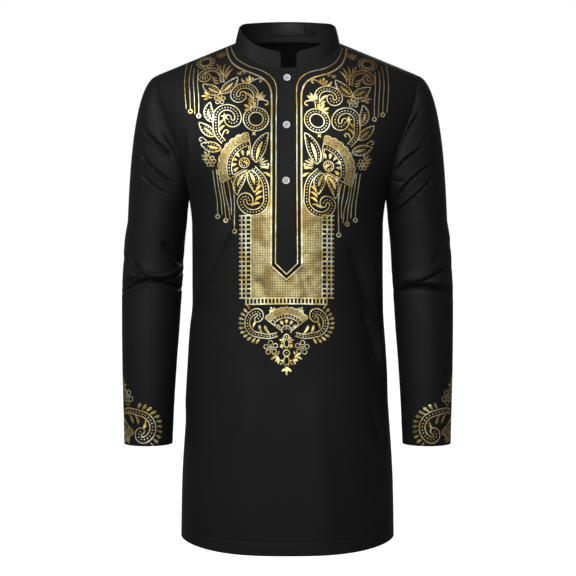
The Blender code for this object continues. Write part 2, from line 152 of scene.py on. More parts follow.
# Half the width of each level section, and how far its front and back stand out.
torso = "z halfWidth front back", [
    (-844, 182, 124, 123),
    (-745, 180, 122, 122),
    (-609, 171.5, 119, 119),
    (-510, 165.5, 118, 115),
    (-445, 161.5, 118, 112),
    (-309, 161.8, 121, 113),
    (-262, 167, 122, 116),
    (-221, 184, 122, 119),
    (-180, 203, 120, 120),
    (-139, 221, 117, 119),
    (-96, 238, 114, 117),
    (-56, 250, 112, 114),
    (60, 268, 108, 110),
]
armhole = "z x", [
    (-262, 167), (-240, 168.5), (-221, 172), (-180, 183), (-139, 198), (-96, 213), (-54.13, 220),
]
sleeve = "z x y halfWidth halfDepth", [
    (-677, 236, -18, 40.9, 39.2),
    (-609, 235.2, -16, 43.2, 43),
    (-541, 234, -12, 46.2, 48),
    (-473, 232, -6, 49.2, 52),
    (-418, 230.5, 0, 50.8, 55),
    (-391, 229, 3, 51.3, 57),
    (-337, 226, 5, 51.3, 59),
    (-300, 221, 5, 50.4, 61),
]

# Folds and creases, each along a line seen from the front that is bowed sideways. Side is -1 for the front
# and 1 for the back, and a negative height is a trough. A crease is lean times as wide on the left of its
# line, and has a low lip on the right.
foldColumns = "side x0 z0 x1 z1 bow height width lean".split()
foldStyle = {
    "fade": 0.25,
    "end": 0.15,
    "edge": 0.35,
    "turn": 1.5,
    "lip": 0.25,
    "lipAt": 2.3,
    "lipWidth": 1.3,
}
bodyFolds = [
    (-1, 108, -330, 146, -560, 6, -5, 17),
    (-1, 132, -320, 166, -600, 6, 4, 12),
    (-1, -96, -300, -150, -430, -4, 3, 14),
    (-1, -60, -520, -84, -840, 4, 3, 26),
    (-1, 46, -560, 70, -840, -4, 3, 24),
    (1, -70, -260, -96, -620, 6, -5, 20),
    (1, 64, -280, 92, -640, -6, -4, 20),
    (1, 0, -420, 4, -840, 0, 5, 28),
    (1, -120, -500, -140, -842, 4, 4, 22),
    (1, 116, -520, 142, -842, -4, 4, 22),
    (-1, -163, -440, -174, -640, 0, 6, 26),
]
leftFolds = [
    (-1, 178, -420, 282, -429, 15, -6, 6),
    (-1, 178, -405, 282, -411, 12, 4, 9),
    (-1, 220, -404, 282, -374, 0, -4, 7),
    (-1, 244, -367, 282, -334, 0, -3, 9),
    (1, 178, -404, 282, -398, -6, -4, 10),
    (1, 178, -430, 282, -424, 6, 3, 11),
]
rightFolds = [
    (-1, -282, -414, -176, -417, 20, -6, 6),
    (-1, -282, -399, -176, -402, 17, 4, 9),
    (-1, -282, -360, -238, -388, 0, -4, 7),
    (-1, -208, -338, -174, -376, 0, -3, 8),
    (1, -282, -396, -176, -404, -6, -4, 10),
    (1, -282, -424, -176, -430, 6, 3, 11),
]
bodyCreases = [
    (-1, -82, -288, -150, -430, 1, 2.6, 5.5, 1),
    (-1, -76, -296, -140, -430, 1, -2, 6, 1),
    (-1, -163, -148, -157, -263, 0, 2.4, 4, 1),
    (-1, -138, -224, -148, -279, 0, -1.6, 4, 1),
    (-1, 96, -330, 143, -460, 3, -3.6, 7, 1),
    (-1, 128, -440, 160, -530, 5, 3.4, 3.2, 1.6),
    (-1, 122, -446, 152, -540, 5, -3, 3.4, 1),
    (-1, 152, -497, 165, -600, 1, 3, 3.4, 1),
    (-1, 143, -590, 170, -690, 1, 3.2, 3.8, 1.4),
    (-1, 136, -600, 160, -700, 2, -2.4, 4, 1),
    (-1, 20, -371, 40, -433, -1, -1.5, 8, 1),
    (-1, -51, -392, -29, -433, 0, -1.2, 7, 1),
    (-1, 50, -188, 105, -294, -9, -2.0, 9, 1),
    (1, -158, -178, -52, -236, -10, -2.4, 9, 1.6),
    (1, 150, -186, 64, -262, 8, -2.0, 8, 1.6),
    (1, -150, -262, -118, -352, 4, -2.0, 7, 1.5),
    (1, 154, -270, 120, -380, -4, 2.2, 8, 1),
    (1, -40, -470, -92, -700, 6, -2.2, 11, 1.5),
    (1, 52, -520, 96, -760, -6, -2.4, 12, 1.5),
]
leftCreases = [
    (-1, 225, -112, 172, -222, -7, -3.6, 2.2, 0.5),
    (-1, 248, -136, 218, -175, 2, -2.4, 1.9, 0.6),
    (-1, 227, -178, 175, -223, -5, -3.9, 2.2, 0.5),
    (-1, 252, -200, 176, -268, -7, -3.9, 2.2, 0.5),
    (-1, 248, -222, 169, -291, 4, -3.3, 2, 0.5),
    (-1, 169, -234, 197, -236, 1, -2.4, 1.9, 1),
    (-1, 270, -336, 241, -372, 2, -2.2, 4.5, 0.7),
    (-1, 273, -376, 215, -405, 1, -4.2, 2.2, 0.6),
    (-1, 176, -424, 276, -433, 19, -4.5, 2, 1.6),
    (-1, 176, -391, 204, -406, -3, -2.1, 2.5, 1),
    (1, 240, -150, 186, -206, 5, -3.3, 2.4, 1.8),
    (1, 262, -196, 180, -262, 8, -3, 2.4, 1.8),
    (1, 256, -250, 184, -296, -3, -2.1, 2.7, 1.6),
    (1, 276, -352, 214, -388, -4, -3.3, 2.4, 1.6),
    (1, 178, -416, 280, -412, -14, -3.9, 2.2, 1.6),
    (1, 184, -470, 236, -520, 4, -1.2, 5, 1.5),
]
rightCreases = [
    (-1, -246, -140, -188, -196, -2, -4.6, 1.9, 1.4),
    (-1, -208, -152, -166, -204, -2, -3.6, 1.8, 1.4),
    (-1, -184, -176, -161, -262, 8, -6, 7, 1),
    (-1, -246, -186, -186, -240, -5, -4.2, 1.9, 1.4),
    (-1, -244, -222, -200, -255, -3, -3, 1.8, 1.4),
    (-1, -213, -334, -174, -379, 3, -3, 3, 1.5),
    (-1, -274, -352, -234, -398, -1, -4.6, 1.9, 1.4),
    (-1, -270, -372, -249, -392, -1, -3, 1.8, 1.4),
    (-1, -243, -392, -174, -374, -9, 3, 3, 1),
    (-1, -222, -404, -169, -381, -4, -4.6, 2, 1.4),
    (-1, -284, -418, -169, -418, 26, 3, 3.5, 1),
    (-1, -284, -425, -169, -425, 26, -6.5, 2.6, 0.7),
    (1, -234, -146, -184, -212, -6, -3.3, 2.4, 1.8),
    (1, -264, -210, -182, -256, -5, -2.7, 2.4, 1.8),
    (1, -254, -262, -180, -304, 4, -2.4, 2.7, 1.6),
    (1, -278, -344, -220, -384, 3, -3, 2.4, 1.6),
    (1, -280, -408, -176, -418, 15, -3.9, 2.2, 1.6),
    (1, -240, -462, -188, -534, -4, -1.2, 5, 1.5),
]


def asTable(rows):
    names = rows[0].split()
    return {name: np.array([row[i] for row in rows[1]], float) for i, name in enumerate(names)}


torso, armhole, sleeve = asTable(torso), asTable(armhole), asTable(sleeve)


def along(sections, column, at):
    # A smooth curve through a table's rows that never overshoots them.
    x, y = sections["z"], sections[column]
    step = np.diff(x)
    slope = np.diff(y) / step
    tangent = np.zeros_like(y)
    tangent[0], tangent[-1] = slope[0], slope[-1]
    for i in range(1, len(y) - 1):
        if slope[i - 1] * slope[i] > 0:
            before, after = 2 * step[i] + step[i - 1], step[i] + 2 * step[i - 1]
            tangent[i] = (before + after) / (before / slope[i - 1] + after / slope[i])
    at = np.clip(at, x[0], x[-1])
    i = np.clip(np.searchsorted(x, at) - 1, 0, len(step) - 1)
    s = (at - x[i]) / step[i]
    start = (1 + 2 * s) * (1 - s) ** 2 * y[i] + s * (1 - s) ** 2 * step[i] * tangent[i]
    return start + s * s * (3 - 2 * s) * y[i + 1] + s * s * (s - 1) * step[i] * tangent[i + 1]


def distance(path):
    return np.concatenate([[0], np.cumsum(np.linalg.norm(np.diff(path, axis=0), axis=-1))])


def unit(vectors):
    return vectors / np.maximum(np.linalg.norm(vectors, axis=-1, keepdims=True), 1e-12)


def smooth(low, high, value):
    t = np.clip((value - low) / (high - low), 0, 1)
    return t * t * (3 - 2 * t)


def onEach(at, known, points):
    # The points of a path at the wanted distances along it.
    return np.stack([np.interp(at, known, column) for column in points.T], axis=-1)


def shoulderLine(x, side):
    rise = body["frontNeckRise"] if side < 0 else body["backNeckRise"]
    away = np.abs(x)
    neck = body["neckHalfWidth"]
    return np.where(away > neck, -body["shoulderSlope"] * (away - neck), rise * (1 - (away / neck) ** 2))


def rollOf(x, side):
    chest = np.exp(-((x / body["chestRollWidth"]) ** 2)) * (side < 0)
    return body["shoulderRoll"] + body["chestRoll"] * chest, 2 - body["chestEase"] * chest


def bodyDepth(x, z, side):
    share = np.clip(np.abs(x) / along(torso, "halfWidth", z), 0, 1)
    power = body["roundness"]
    return along(torso, "front" if side < 0 else "back", z) * (1 - share ** power) ** (1 / power)


def bodyY(x, z, side):
    reach, power = rollOf(x, side)
    drop = np.clip((shoulderLine(x, side) - z) / reach, 0, 1)
    return body["middle"] + side * bodyDepth(x, z, side) * (1 - (1 - drop) ** power) ** (1 / power)


def neckline(x, side):
    share = np.clip(np.abs(x) / body["neckHalfWidth"], 0, 1)
    if side < 0:
        flat, steep = body["frontNeckPowers"]
        return -body["frontNeckDrop"] * (1 - share ** flat) ** (1 / steep)
    reach, power = rollOf(x, side)
    lean = np.clip(body["backNeckDepth"] * np.sqrt(1 - share ** 2) / bodyDepth(x, 0 * x, side), 0, 1)
    return shoulderLine(x, side) - reach * (1 - (1 - lean ** power) ** (1 / power))


def seamShares(count, start, end):
    # Even steps from 0 to 1, finer beside a seam at either end.
    shares = np.linspace(0, 1, count + 1)
    close = 1 / count * np.array(body["seamSteps"])
    ends = [close] * start + [1 - close] * end
    return np.unique(np.concatenate([shares, *ends]).round(9))


def hemRows(hem, line, first, count):
    # Levels of points from the hem to just above its stitching, close together at both.
    between = np.linspace(hem + first, line - 2 * body["lineSteps"][-1], count)
    return np.concatenate([hem + np.array(body["hemSteps"]), between, line + np.array(body["lineSteps"])])


def halfPanel(side, hand):
    end = abs(collar["ends"][1] if hand > 0 else collar["ends"][0])
    neck = body["neckHalfWidth"]
    inside = np.linspace(np.arcsin(end / neck), np.pi / 2, body["neckColumns"])
    over = seamShares(body["shoulderColumns"], False, True)[1:]
    start = np.array([0, body["slitHalfWidth"]])
    top = np.concatenate([start, neck * np.sin(inside), neck + (body["shoulderHalfWidth"] - neck) * over])
    count = len(inside) - 1 + body["shoulderColumns"]
    even = np.concatenate([np.arange(len(inside)), len(inside) - 1 + over * body["shoulderColumns"]]) / count

    def level(z):
        # Where the columns cross the level z, sharing the cloth out to the side seam.
        turn = np.linspace(0, np.pi / 2, body["fineSteps"])
        fine = end + (along(torso, "halfWidth", z) - end) * np.sin(turn)
        length = distance(np.stack([fine, bodyY(fine, np.full_like(fine, z), -1)], axis=-1))
        return np.concatenate([start, np.interp(even * length[-1], length, fine)])

    hem, line = torso["z"][0], torso["z"][0] + body["hemLine"]
    rows = []
    above = np.arange(line + body["aboveLine"], body["armpit"] - body["rowStep"] / 2, body["rowStep"])
    low = np.concatenate([hemRows(hem, line, *body["hemRows"]), above])
    for z in low:
        x = level(z)
        rows.append((hand * x, np.full_like(x, z)))
    lowest = level(body["armpit"])
    tip = -body["shoulderSlope"] * (body["shoulderHalfWidth"] - neck)
    meets = np.where(top > neck, shoulderLine(top, side), neckline(top, side))
    turns = np.linspace(0, np.pi, body["armholeRows"] + 1)
    for share in (1 - np.cos(turns)) / 2:
        edge = along(armhole, "x", body["armpit"] + share * (tip - body["armpit"]))
        x = edge * (lowest / lowest[-1] * (1 - share) + top / top[-1] * share)
        x[:3] = lowest[:3] * (1 - share) + top[:3] * share
        rows.append((hand * x, body["armpit"] + (meets - body["armpit"]) * share))
    x, z = (np.array([row[k] for row in rows]) for k in (0, 1))
    return np.stack([x, bodyY(x, z, side), z], axis=-1), len(low)


def bodyPanel(side):
    right, low = halfPanel(side, -1)
    left = halfPanel(side, 1)[0]
    return np.concatenate([right[:, :0:-1], left], axis=1), low


def sleeveSurface(hand, back, front):
    # The armhole's points run from the shoulder down the front to the armpit and up the back.
    hole = np.concatenate([front[::-1], back[1:-1]])
    angle = np.linspace(0, 2 * np.pi, len(hole), endpoint=False)
    around = np.stack([hand * np.cos(angle), -np.sin(angle)], axis=-1)

    def ring(z):
        x, y = along(sleeve, "x", z), along(sleeve, "y", z)
        across, deep = along(sleeve, "halfWidth", z), along(sleeve, "halfDepth", z)
        level = np.full(len(hole), z)
        return np.stack([hand * x + around[:, 0] * across, y + around[:, 1] * deep, level], axis=-1)

    first = ring(sleeves["ringHeight"])
    chord = np.linalg.norm(first - hole, axis=1)[:, None]
    axes = np.array([hand, -1, 1])
    turn = np.stack([np.cos(angle), np.sin(angle), np.cos(angle)], axis=-1)
    start = (np.array(sleeves["capStart"]) + turn * sleeves["capTurn"]) * axes
    end = np.array(sleeves["capEnd"]) * axes
    rows = []
    for s in seamShares(sleeves["capRows"], True, False):
        blend = s * s * (3 - 2 * s)
        reach = s * (1 - s) ** 2 * start * chord + s * s * (s - 1) * end * chord
        rows.append(hole * (1 - blend) + first * blend + reach)
    step = sleeves["rowStep"]
    line = sleeves["end"] + sleeves["hemLine"]
    low = np.arange(sleeves["ringHeight"] - step, line + step, -step)
    low = np.concatenate([low, hemRows(sleeves["end"], line, *sleeves["hemRows"])[::-1]])
    rows += [ring(z) for z in low]
    return np.array(rows), angle


def armholeOut(angle, hand):
    out, forward, up = sleeves["armholeFacing"]
    level = np.full_like(angle, hand * out)
    return unit(np.stack([level, -forward * np.sin(angle), up * np.cos(angle)], axis=-1))


def facing(grid, closed=False):
    if closed:
        wide = np.concatenate([grid[:, -1:], grid, grid[:, :1]], axis=1)
        across = wide[:, 2:] - wide[:, :-2]
    else:
        across = np.gradient(grid, axis=1)
    return unit(np.cross(across, np.gradient(grid, axis=0)))


def sunk(off, depth, width):
    return depth * np.exp(-((off / width) ** 2))


def folded(grid, outward, folds):
    moved = grid.copy()
    for row in folds:
        fold = dict(zip(foldColumns, row + (1,)))
        start, end = np.array([fold["x0"], fold["z0"]]), np.array([fold["x1"], fold["z1"]])
        run = end - start
        length = np.linalg.norm(run)
        run = run / length
        cross = np.array([-run[1], run[0]])
        seen = grid[..., [0, 2]] - start
        t = seen @ run / length
        off = seen @ cross - fold["bow"] * 4 * t * (1 - t)
        fade = smooth(0, 1, np.minimum(t, 1 - t) / foldStyle["fade"] + foldStyle["end"])
        side = np.clip(foldStyle["edge"] + fold["side"] * outward[..., 1] * foldStyle["turn"], 0, 1)
        width = fold["width"] * np.where(off > 0, fold["lean"], 1)
        lip = sunk(np.abs(off) / width - foldStyle["lipAt"], foldStyle["lip"], foldStyle["lipWidth"])
        lip *= (off <= 0) & (fold["lean"] != 1)
        height = fold["height"] * (sunk(off, 1, width) - lip) * fade * side
        moved += outward * height[..., None]
    return moved


def clothUv(grid, closed):
    # Metres of cloth across each row and up each column, with one more column where it closes.
    wide = np.concatenate([grid, grid[:, :1]], axis=1) if closed else grid
    across = np.linalg.norm(np.diff(wide, axis=1), axis=-1)
    up = np.linalg.norm(np.diff(wide, axis=0), axis=-1)
    u = np.pad(np.cumsum(across, axis=1), ((0, 0), (1, 0)))
    v = np.pad(np.cumsum(up, axis=0), ((1, 0), (0, 0)))
    return np.stack([u - u[:, u.shape[1] // 2, None], v], axis=-1) * mm


skins = {}  # the outer side of each piece of cloth, for what lies on it


def turnedOut(points, faces, inward):
    # The faces, all wound so that their normals point away from inward.
    a, b, c = (points[faces[:, n]] for n in range(3))
    wrong = (np.cross(b - a, c - a) * inward.reshape(-1, 3)[faces[:, 0]]).sum(axis=1) > 0
    return np.where(wrong[:, None], faces[:, ::-1], faces)


def wall(name, outer, inward, thickness, material, closed=False, keep=None):
    # A closed shell between a grid of outer points and the same points moved inward.
    rows, columns = outer.shape[:2]
    count, wide = rows * columns, columns + closed
    i, j = np.meshgrid(np.arange(rows - 1), np.arange(wide - 1), indexing="ij")
    if keep is not None:
        i, j = i[keep], j[keep]
    i, j = i.ravel(), j.ravel()
    corners = [i * wide + j, i * wide + j + 1, (i + 1) * wide + j + 1, (i + 1) * wide + j]

    def real(index):
        return index // wide * columns + index % wide % columns

    flat = outer.reshape(-1, 3)
    a, b, c, d = (flat[real(index)] for index in corners)
    turn = np.linalg.norm(a - c, axis=1) > np.linalg.norm(b - d, axis=1)
    p, q, r, s = (np.where(turn, corners[(n + 1) % 4], corners[n]) for n in range(4))
    skin = np.concatenate([np.stack([p, q, r], axis=1), np.stack([p, r, s], axis=1)])
    solid = real(skin)
    skins[name] = BVHTree.FromPolygons(flat.tolist(), turnedOut(flat, solid, inward).tolist())
    sides = {(face[n], face[(n + 1) % 3]): (cut[n], cut[(n + 1) % 3])
             for face, cut in zip(solid.tolist(), skin.tolist()) for n in range(3)}
    rim = [(edge, cut) for edge, cut in sides.items() if edge[::-1] not in sides]
    faces = solid.tolist() + [(b, a, a + count, b + count) for (a, b), cut in rim]
    faces += (solid[:, ::-1] + count).tolist()
    uv = clothUv(outer, closed).reshape(-1, 2)
    corner = [uv[skin].reshape(-1, 2)] + [uv[[cut[1], cut[0], cut[0], cut[1]]] for edge, cut in rim]
    corner.append(uv[skin[:, ::-1]].reshape(-1, 2))
    points = np.concatenate([flat, (outer + inward * thickness).reshape(-1, 3)])
    return addMesh(name, points, faces, material, np.concatenate(corner))


def addMesh(name, points, faces, material, uv=None):
    mesh = bpy.data.meshes.new(name)
    mesh.from_pydata((np.asarray(points) * mm).tolist(), [], faces)
    if uv is not None:
        mesh.uv_layers.new(name="cloth").data.foreach_set("uv", uv.ravel())
    shape = bmesh.new()
    shape.from_mesh(mesh)
    bmesh.ops.delete(shape, geom=[v for v in shape.verts if not v.link_faces], context="VERTS")
    bmesh.ops.recalc_face_normals(shape, faces=shape.faces)
    shape.to_mesh(mesh)
    shape.free()
    mesh.materials.append(material)
    mesh.shade_smooth()
    mesh.set_sharp_from_angle(angle=np.radians(body["smoothTo"]))
    obj = bpy.data.objects.new(name, mesh)
    bpy.context.scene.collection.objects.link(obj)
    return obj


def selectOnly(obj):
    bpy.ops.object.select_all(action="DESELECT")
    obj.select_set(True)
    bpy.context.view_layer.objects.active = obj


def apply(obj, kind, **settings):
    selectOnly(obj)
    modifier = obj.modifiers.new("finish", kind)
    for key, value in settings.items():
        setattr(modifier, key, value)
    bpy.ops.object.modifier_apply(modifier="finish")


def bevelled(obj, width, segments, angle):
    limit = {"limit_method": "ANGLE", "angle_limit": np.radians(angle)}
    apply(obj, "BEVEL", width=width * mm, segments=segments, **limit)


def rounded(obj, width):
    # The cloth turns over an edge, with no sharp corner.
    bevelled(obj, width, 2, body["roundFrom"])
    obj.data.shade_smooth()
    return obj


def place(obj, slot, *nodes):
    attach(obj, "root")
    if nodes:
        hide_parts(*nodes)
    return obj


def fill(tree, made, settings):
    # Each setting is a property of the node, a value for one of its sockets, or an output to link to one.
    for key, value in settings.items():
        if hasattr(made, key):
            setattr(made, key, value)
        elif isinstance(value, bpy.types.NodeSocket):
            tree.links.new(value, made.inputs[key])
        else:
            made.inputs[key].default_value = value
    return made


def node(tree, kind, **settings):
    return fill(tree, tree.nodes.new("ShaderNode" + kind), settings)


def material(name, colour, roughness, **sockets):
    made = bpy.data.materials.new(name)
    made.use_nodes = True
    tree = made.node_tree
    shader = tree.nodes["Principled BSDF"]
    fill(tree, shader, {"Base Color": (*colour, 1), "Roughness": roughness, **sockets})
    return made, tree, shader


def noise(tree, where, scale, detail):
    return node(tree, "TexNoise", Vector=where, Scale=scale, Detail=detail).outputs["Fac"]


def stripes(tree, where, way, scale, **settings):
    bands = {"wave_type": "BANDS", "bands_direction": way, "Vector": where, "Scale": scale}
    return node(tree, "TexWave", **bands, **settings).outputs["Fac"]


def ranged(tree, source, low, high, start=0, end=1):
    # From low where the source is at start to high where it is at end.
    limits = {"From Min": start, "From Max": end, "To Min": low, "To Max": high}
    return node(tree, "MapRange", Value=source, **limits).outputs["Result"]


def toned(tree, source, dark, light, start=0, end=1):
    ramp = node(tree, "ValToRGB", Fac=source)
    for stop, at, colour in zip(ramp.color_ramp.elements, (start, end), (dark, light)):
        stop.position, stop.color = at, (*colour, 1)
    return ramp.outputs["Color"]


def bumped(tree, height, strength, distance, **settings):
    settings.update(Height=height, Strength=strength, Distance=distance)
    return node(tree, "Bump", **settings).outputs["Normal"]


def sumOf(tree, kind, *sources):
    made = node(tree, "Math", operation=kind)
    for source, socket in zip(sources, made.inputs):
        tree.links.new(source, socket)
    return made.outputs["Value"]


def blended(tree, kind, share, colour, other):
    mix = node(tree, "Mix", data_type="RGBA", blend_type=kind, Factor=share, A=colour, B=(*other, 1))
    return mix.outputs["Result"]


weave = {
    "colour": (0.0085, 0.0085, 0.0092),
    "tones": (0.8, 1.25),  # the darkest and lightest cloth, as shares of its colour
    "roughness": 0.6,
    "uneven": 0.06,
    "gloss": {"Specular IOR Level": 0.2, "Sheen Weight": 0.02, "Sheen Roughness": 0.45},
    "threads": 130,
    "wobble": {"Distortion": 0.6, "Detail Scale": 30},
    "slub": (220, 3),  # the scale and detail of a noise, here and below
    "cloud": (14, 4),
    "depth": 0.35,
    "bump": 0.0002,
}


def clothMaterial():
    made, tree, shader = material("blackCloth", weave["colour"], weave["roughness"], **weave["gloss"])
    where = node(tree, "TexCoord").outputs
    threads = [stripes(tree, where["UV"], way, weave["threads"], **weave["wobble"]) for way in "XY"]
    slub = noise(tree, where["UV"], *weave["slub"])
    height = sumOf(tree, "ADD", sumOf(tree, "MULTIPLY", *threads), slub)
    # Slow changes of tone where the dye and the nap are uneven.
    dark, light = ([part * share for part in weave["colour"]] for share in weave["tones"])
    smoothest, roughest = (weave["roughness"] + sign * weave["uneven"] for sign in (-1, 1))
    fill(tree, shader, {
        "Base Color": toned(tree, noise(tree, where["Object"], *weave["cloud"]), dark, light),
        "Roughness": ranged(tree, slub, smoothest, roughest),
        "Normal": bumped(tree, height, weave["depth"], weave["bump"]),
    })
    return made


foil = {
    "dark": (0.16, 0.09, 0.035),
    # Painted shade: this bronze tint is laid over the foil along the ramps below, where it would reflect less
    # light.
    "shadeBronze": (0.5, 0.33, 0.22),
    "paintedShadeRamps": [("Z", -0.12, -0.035, 0.75), ("X", 0.07, 0.14, 0.35)],  # axis, start, end, share
    "clouds": (38, 3),
    "cloudEdges": (0.38, 0.6),
    "grain": (420, 2),
    "rubbedEdges": (0.38, 0.54),
    "roughness": (-0.08, 0.12),
    "waves": (75, 2),
    "waveStrength": 0.8,
    "bump": 0.0002,
    "kinds": [  # name, pale tone, deep tone, metal, roughness, rubbed share, grain depth, wave depth
        ("lineFoil", (1.0, 0.97, 0.68), (0.78, 0.59, 0.18), 0.7, 0.36, 0.12, 0.2, 0.0024),
        ("petalFoil", (1.0, 0.90, 0.44), (0.70, 0.46, 0.11), 0.85, 0.32, 0.15, 0.3, 0.003),
        ("grainedFoil", (0.68, 0.58, 0.24), (0.42, 0.33, 0.12), 0.8, 0.42, 0.85, 0.9, 0.0012),
        ("meshFoil", (0.93, 0.79, 0.38), (0.54, 0.38, 0.13), 0.8, 0.38, 0.08, 0.4, 0.0008),
    ],
}


def foilMaterial(name, pale, deep, metal, roughness, rubbed, grain, wave):
    made, tree, shader = material(name, pale, roughness, Metallic=metal)
    where = node(tree, "TexCoord").outputs["Object"]
    # Broad changes of tone, where the foil lies more or less flat on the cloth.
    tone = toned(tree, noise(tree, where, *foil["clouds"]), deep, pale, *foil["cloudEdges"])
    # Flecks where the foil is rubbed thin and the grain of the glue shows.
    flecks = noise(tree, where, *foil["grain"])
    worn = blended(tree, "MIX", ranged(tree, flecks, rubbed, 0, *foil["rubbedEdges"]), tone, foil["dark"])
    # Painted shade: the foil is tinted browner over the shoulders and towards the wearer's left, where it
    # would reflect less light.
    parts = node(tree, "SeparateXYZ", Vector=where).outputs
    paintedShade = [ranged(tree, parts[axis], 0, most, start, end) for axis, start, end, most in foil["paintedShadeRamps"]]
    # It lies in shallow waves over the weave, and is grainy close up.
    broad = bumped(tree, noise(tree, where, *foil["waves"]), foil["waveStrength"], wave)
    fill(tree, shader, {
        "Base Color": blended(tree, "MULTIPLY", sumOf(tree, "ADD", *paintedShade), worn, foil["shadeBronze"]),
        "Roughness": ranged(tree, flecks, *(roughness + off for off in foil["roughness"])),
        "Normal": bumped(tree, flecks, grain, foil["bump"], Normal=broad),
    })
    return made


plastic = {
    "coat": {"Coat Weight": 0.4, "Coat Roughness": 0.12},
    "dark": (0.9, 0.9, 0.89),
    "light": (1, 1, 0.99),
    "mottle": (320, 4),
    "scratches": (2600, 2),
    "depth": 0.08,
    "bump": 0.0001,
}


def plasticMaterial(name, tone, roughness):
    # White polyester with a faint cloudy mottle and fine scratches.
    made, tree, shader = material(name, [tone] * 3, roughness, **plastic["coat"])
    where = node(tree, "TexCoord").outputs["Object"]
    dark, light = ([tone * share for share in plastic[shade]] for shade in ("dark", "light"))
    fill(tree, shader, {
        "Base Color": toned(tree, noise(tree, where, *plastic["mottle"]), dark, light),
        "Normal": bumped(tree, noise(tree, where, *plastic["scratches"]), plastic["depth"], plastic["bump"]),
    })
    return made


thread = {"sheen": {"Sheen Weight": 0.1}, "ridges": 1500, "tones": (0.7, 1.1), "depth": 0.5, "bump": 0.00008}


def threadMaterial(name, colour, roughness):
    # Twisted thread: fine slanting ridges and a soft sheen.
    made, tree, shader = material(name, colour, roughness, **thread["sheen"])
    ridges = stripes(tree, node(tree, "TexCoord").outputs["Object"], "DIAGONAL", thread["ridges"])
    dark, light = ([part * share for part in colour] for share in thread["tones"])
    fill(tree, shader, {
        "Base Color": toned(tree, ridges, dark, light),
        "Normal": bumped(tree, ridges, thread["depth"], thread["bump"]),
    })
    return made


satin = {
    "colour": (0.005, 0.005, 0.006),
    "roughness": 0.34,
    "roughnessEnds": (0.26, 0.44),
    "gloss": {"Specular IOR Level": 0.25},
    "cloud": (60, 3),
    "ribs": 180,
    "wobble": {"Distortion": 0.5},
    "depth": 0.35,
    "bump": 0.00012,
}


def satinMaterial():
    # Tape woven with a fine cross rib, shinier than the cloth.
    made, tree, shader = material("blackSatin", satin["colour"], satin["roughness"], **satin["gloss"])
    where = node(tree, "TexCoord").outputs
    ribs = stripes(tree, where["UV"], "Y", satin["ribs"], **satin["wobble"])
    cloud = noise(tree, where["Object"], *satin["cloud"])
    fill(tree, shader, {
        "Roughness": ranged(tree, cloud, *satin["roughnessEnds"]),
        "Normal": bumped(tree, ribs, satin["depth"], satin["bump"]),
    })
    return made


blackCloth = clothMaterial()
whiteButton = plasticMaterial("whiteButton", 0.98, 0.25)
# A darker copy of the white button plastic: painted shade for the button's dished middle.
shadedDishButton = plasticMaterial("shadedDishButton", 0.5, 0.3)
whiteThread = threadMaterial("whiteThread", (0.8, 0.8, 0.78), 0.6)
blackThread = threadMaterial("blackThread", (0.014, 0.014, 0.015), 0.5)
blackSatin = satinMaterial()
foils = [foilMaterial(*kind) for kind in foil["kinds"]]
lineTone, petalTone, grainTone, meshTone = range(4)
print("materials ready")


def doubled(grid, line):
    # The cloth is turned up inside below the line of stitching.
    single, double = body["doubledFrom"]
    return body["cloth"] * (1 + smooth(line + single, line + double, grid[..., 2:]))


def hemShift(x, z):
    rise = body["hemRise"] * (np.abs(x) / torso["halfWidth"][0]) ** 3 - body["hemDrop"]
    return rise * (1 - smooth(torso["z"][0], body["hemCurveTop"], z))


def makeBody(name, side, node):
    grid, low = bodyPanel(side)
    outward = facing(grid) * -side
    outward[:low, 0], outward[:low, -1] = (-1, 0, 0), (1, 0, 0)
    grid = folded(grid, outward, bodyFolds + bodyCreases)
    centre = grid.shape[1] // 2
    # The cloth rolls down into its seams, and in a little at the hem's stitching.
    across = np.linalg.norm(np.diff(grid, axis=1), axis=-1)
    fromRight = np.pad(np.cumsum(across, axis=1), ((0, 0), (1, 0)))
    edge = np.minimum(fromRight, fromRight[:, -1:] - fromRight)
    line = torso["z"][0] + body["hemLine"]
    depth = sunk(edge, *body["sideGroove"]) + sunk(grid[..., 2] - line, *body["hemGroove"])
    shoulder = np.abs(grid[..., 0]) > body["neckHalfWidth"]
    fromTop = np.linalg.norm(grid - grid[-1:], axis=-1)
    depth += sunk(fromTop, *body["shoulderGroove"]) * shoulder
    inward = -outward
    turns = np.linspace(np.pi, 0, body["armholeRows"] + 1) * -side
    for column, hand in ((0, -1), (-1, 1)):
        inward[:low, column] = (-hand, 0, 0)
        inward[low:, column] = -armholeOut(turns, hand)
    top = np.abs(grid[-1, :, 0]) > body["neckHalfWidth"]
    top[[0, -1]] = False
    slope = np.sign(grid[-1, top, 0]) * -body["shoulderSlope"]
    inward[-1, top] = unit(np.stack([slope, 0 * slope, np.full_like(slope, -1.0)], axis=-1))
    grid = grid + inward * depth[..., None]
    grid[-1, top, 1] = body["middle"] - side * body["seamLap"]
    keep = np.ones((len(grid) - 1, grid.shape[1] - 1), bool)
    if side < 0:
        keep[grid[:-1, centre, 2] >= body["slitEnd"], centre - 1:centre + 1] = False
    thickness = doubled(grid, line)
    grid[..., 2] += hemShift(grid[..., 0], grid[..., 2])
    piece = wall(name, grid, inward, thickness, blackCloth, keep=keep)
    return place(piece, "cloth", node), grid, low


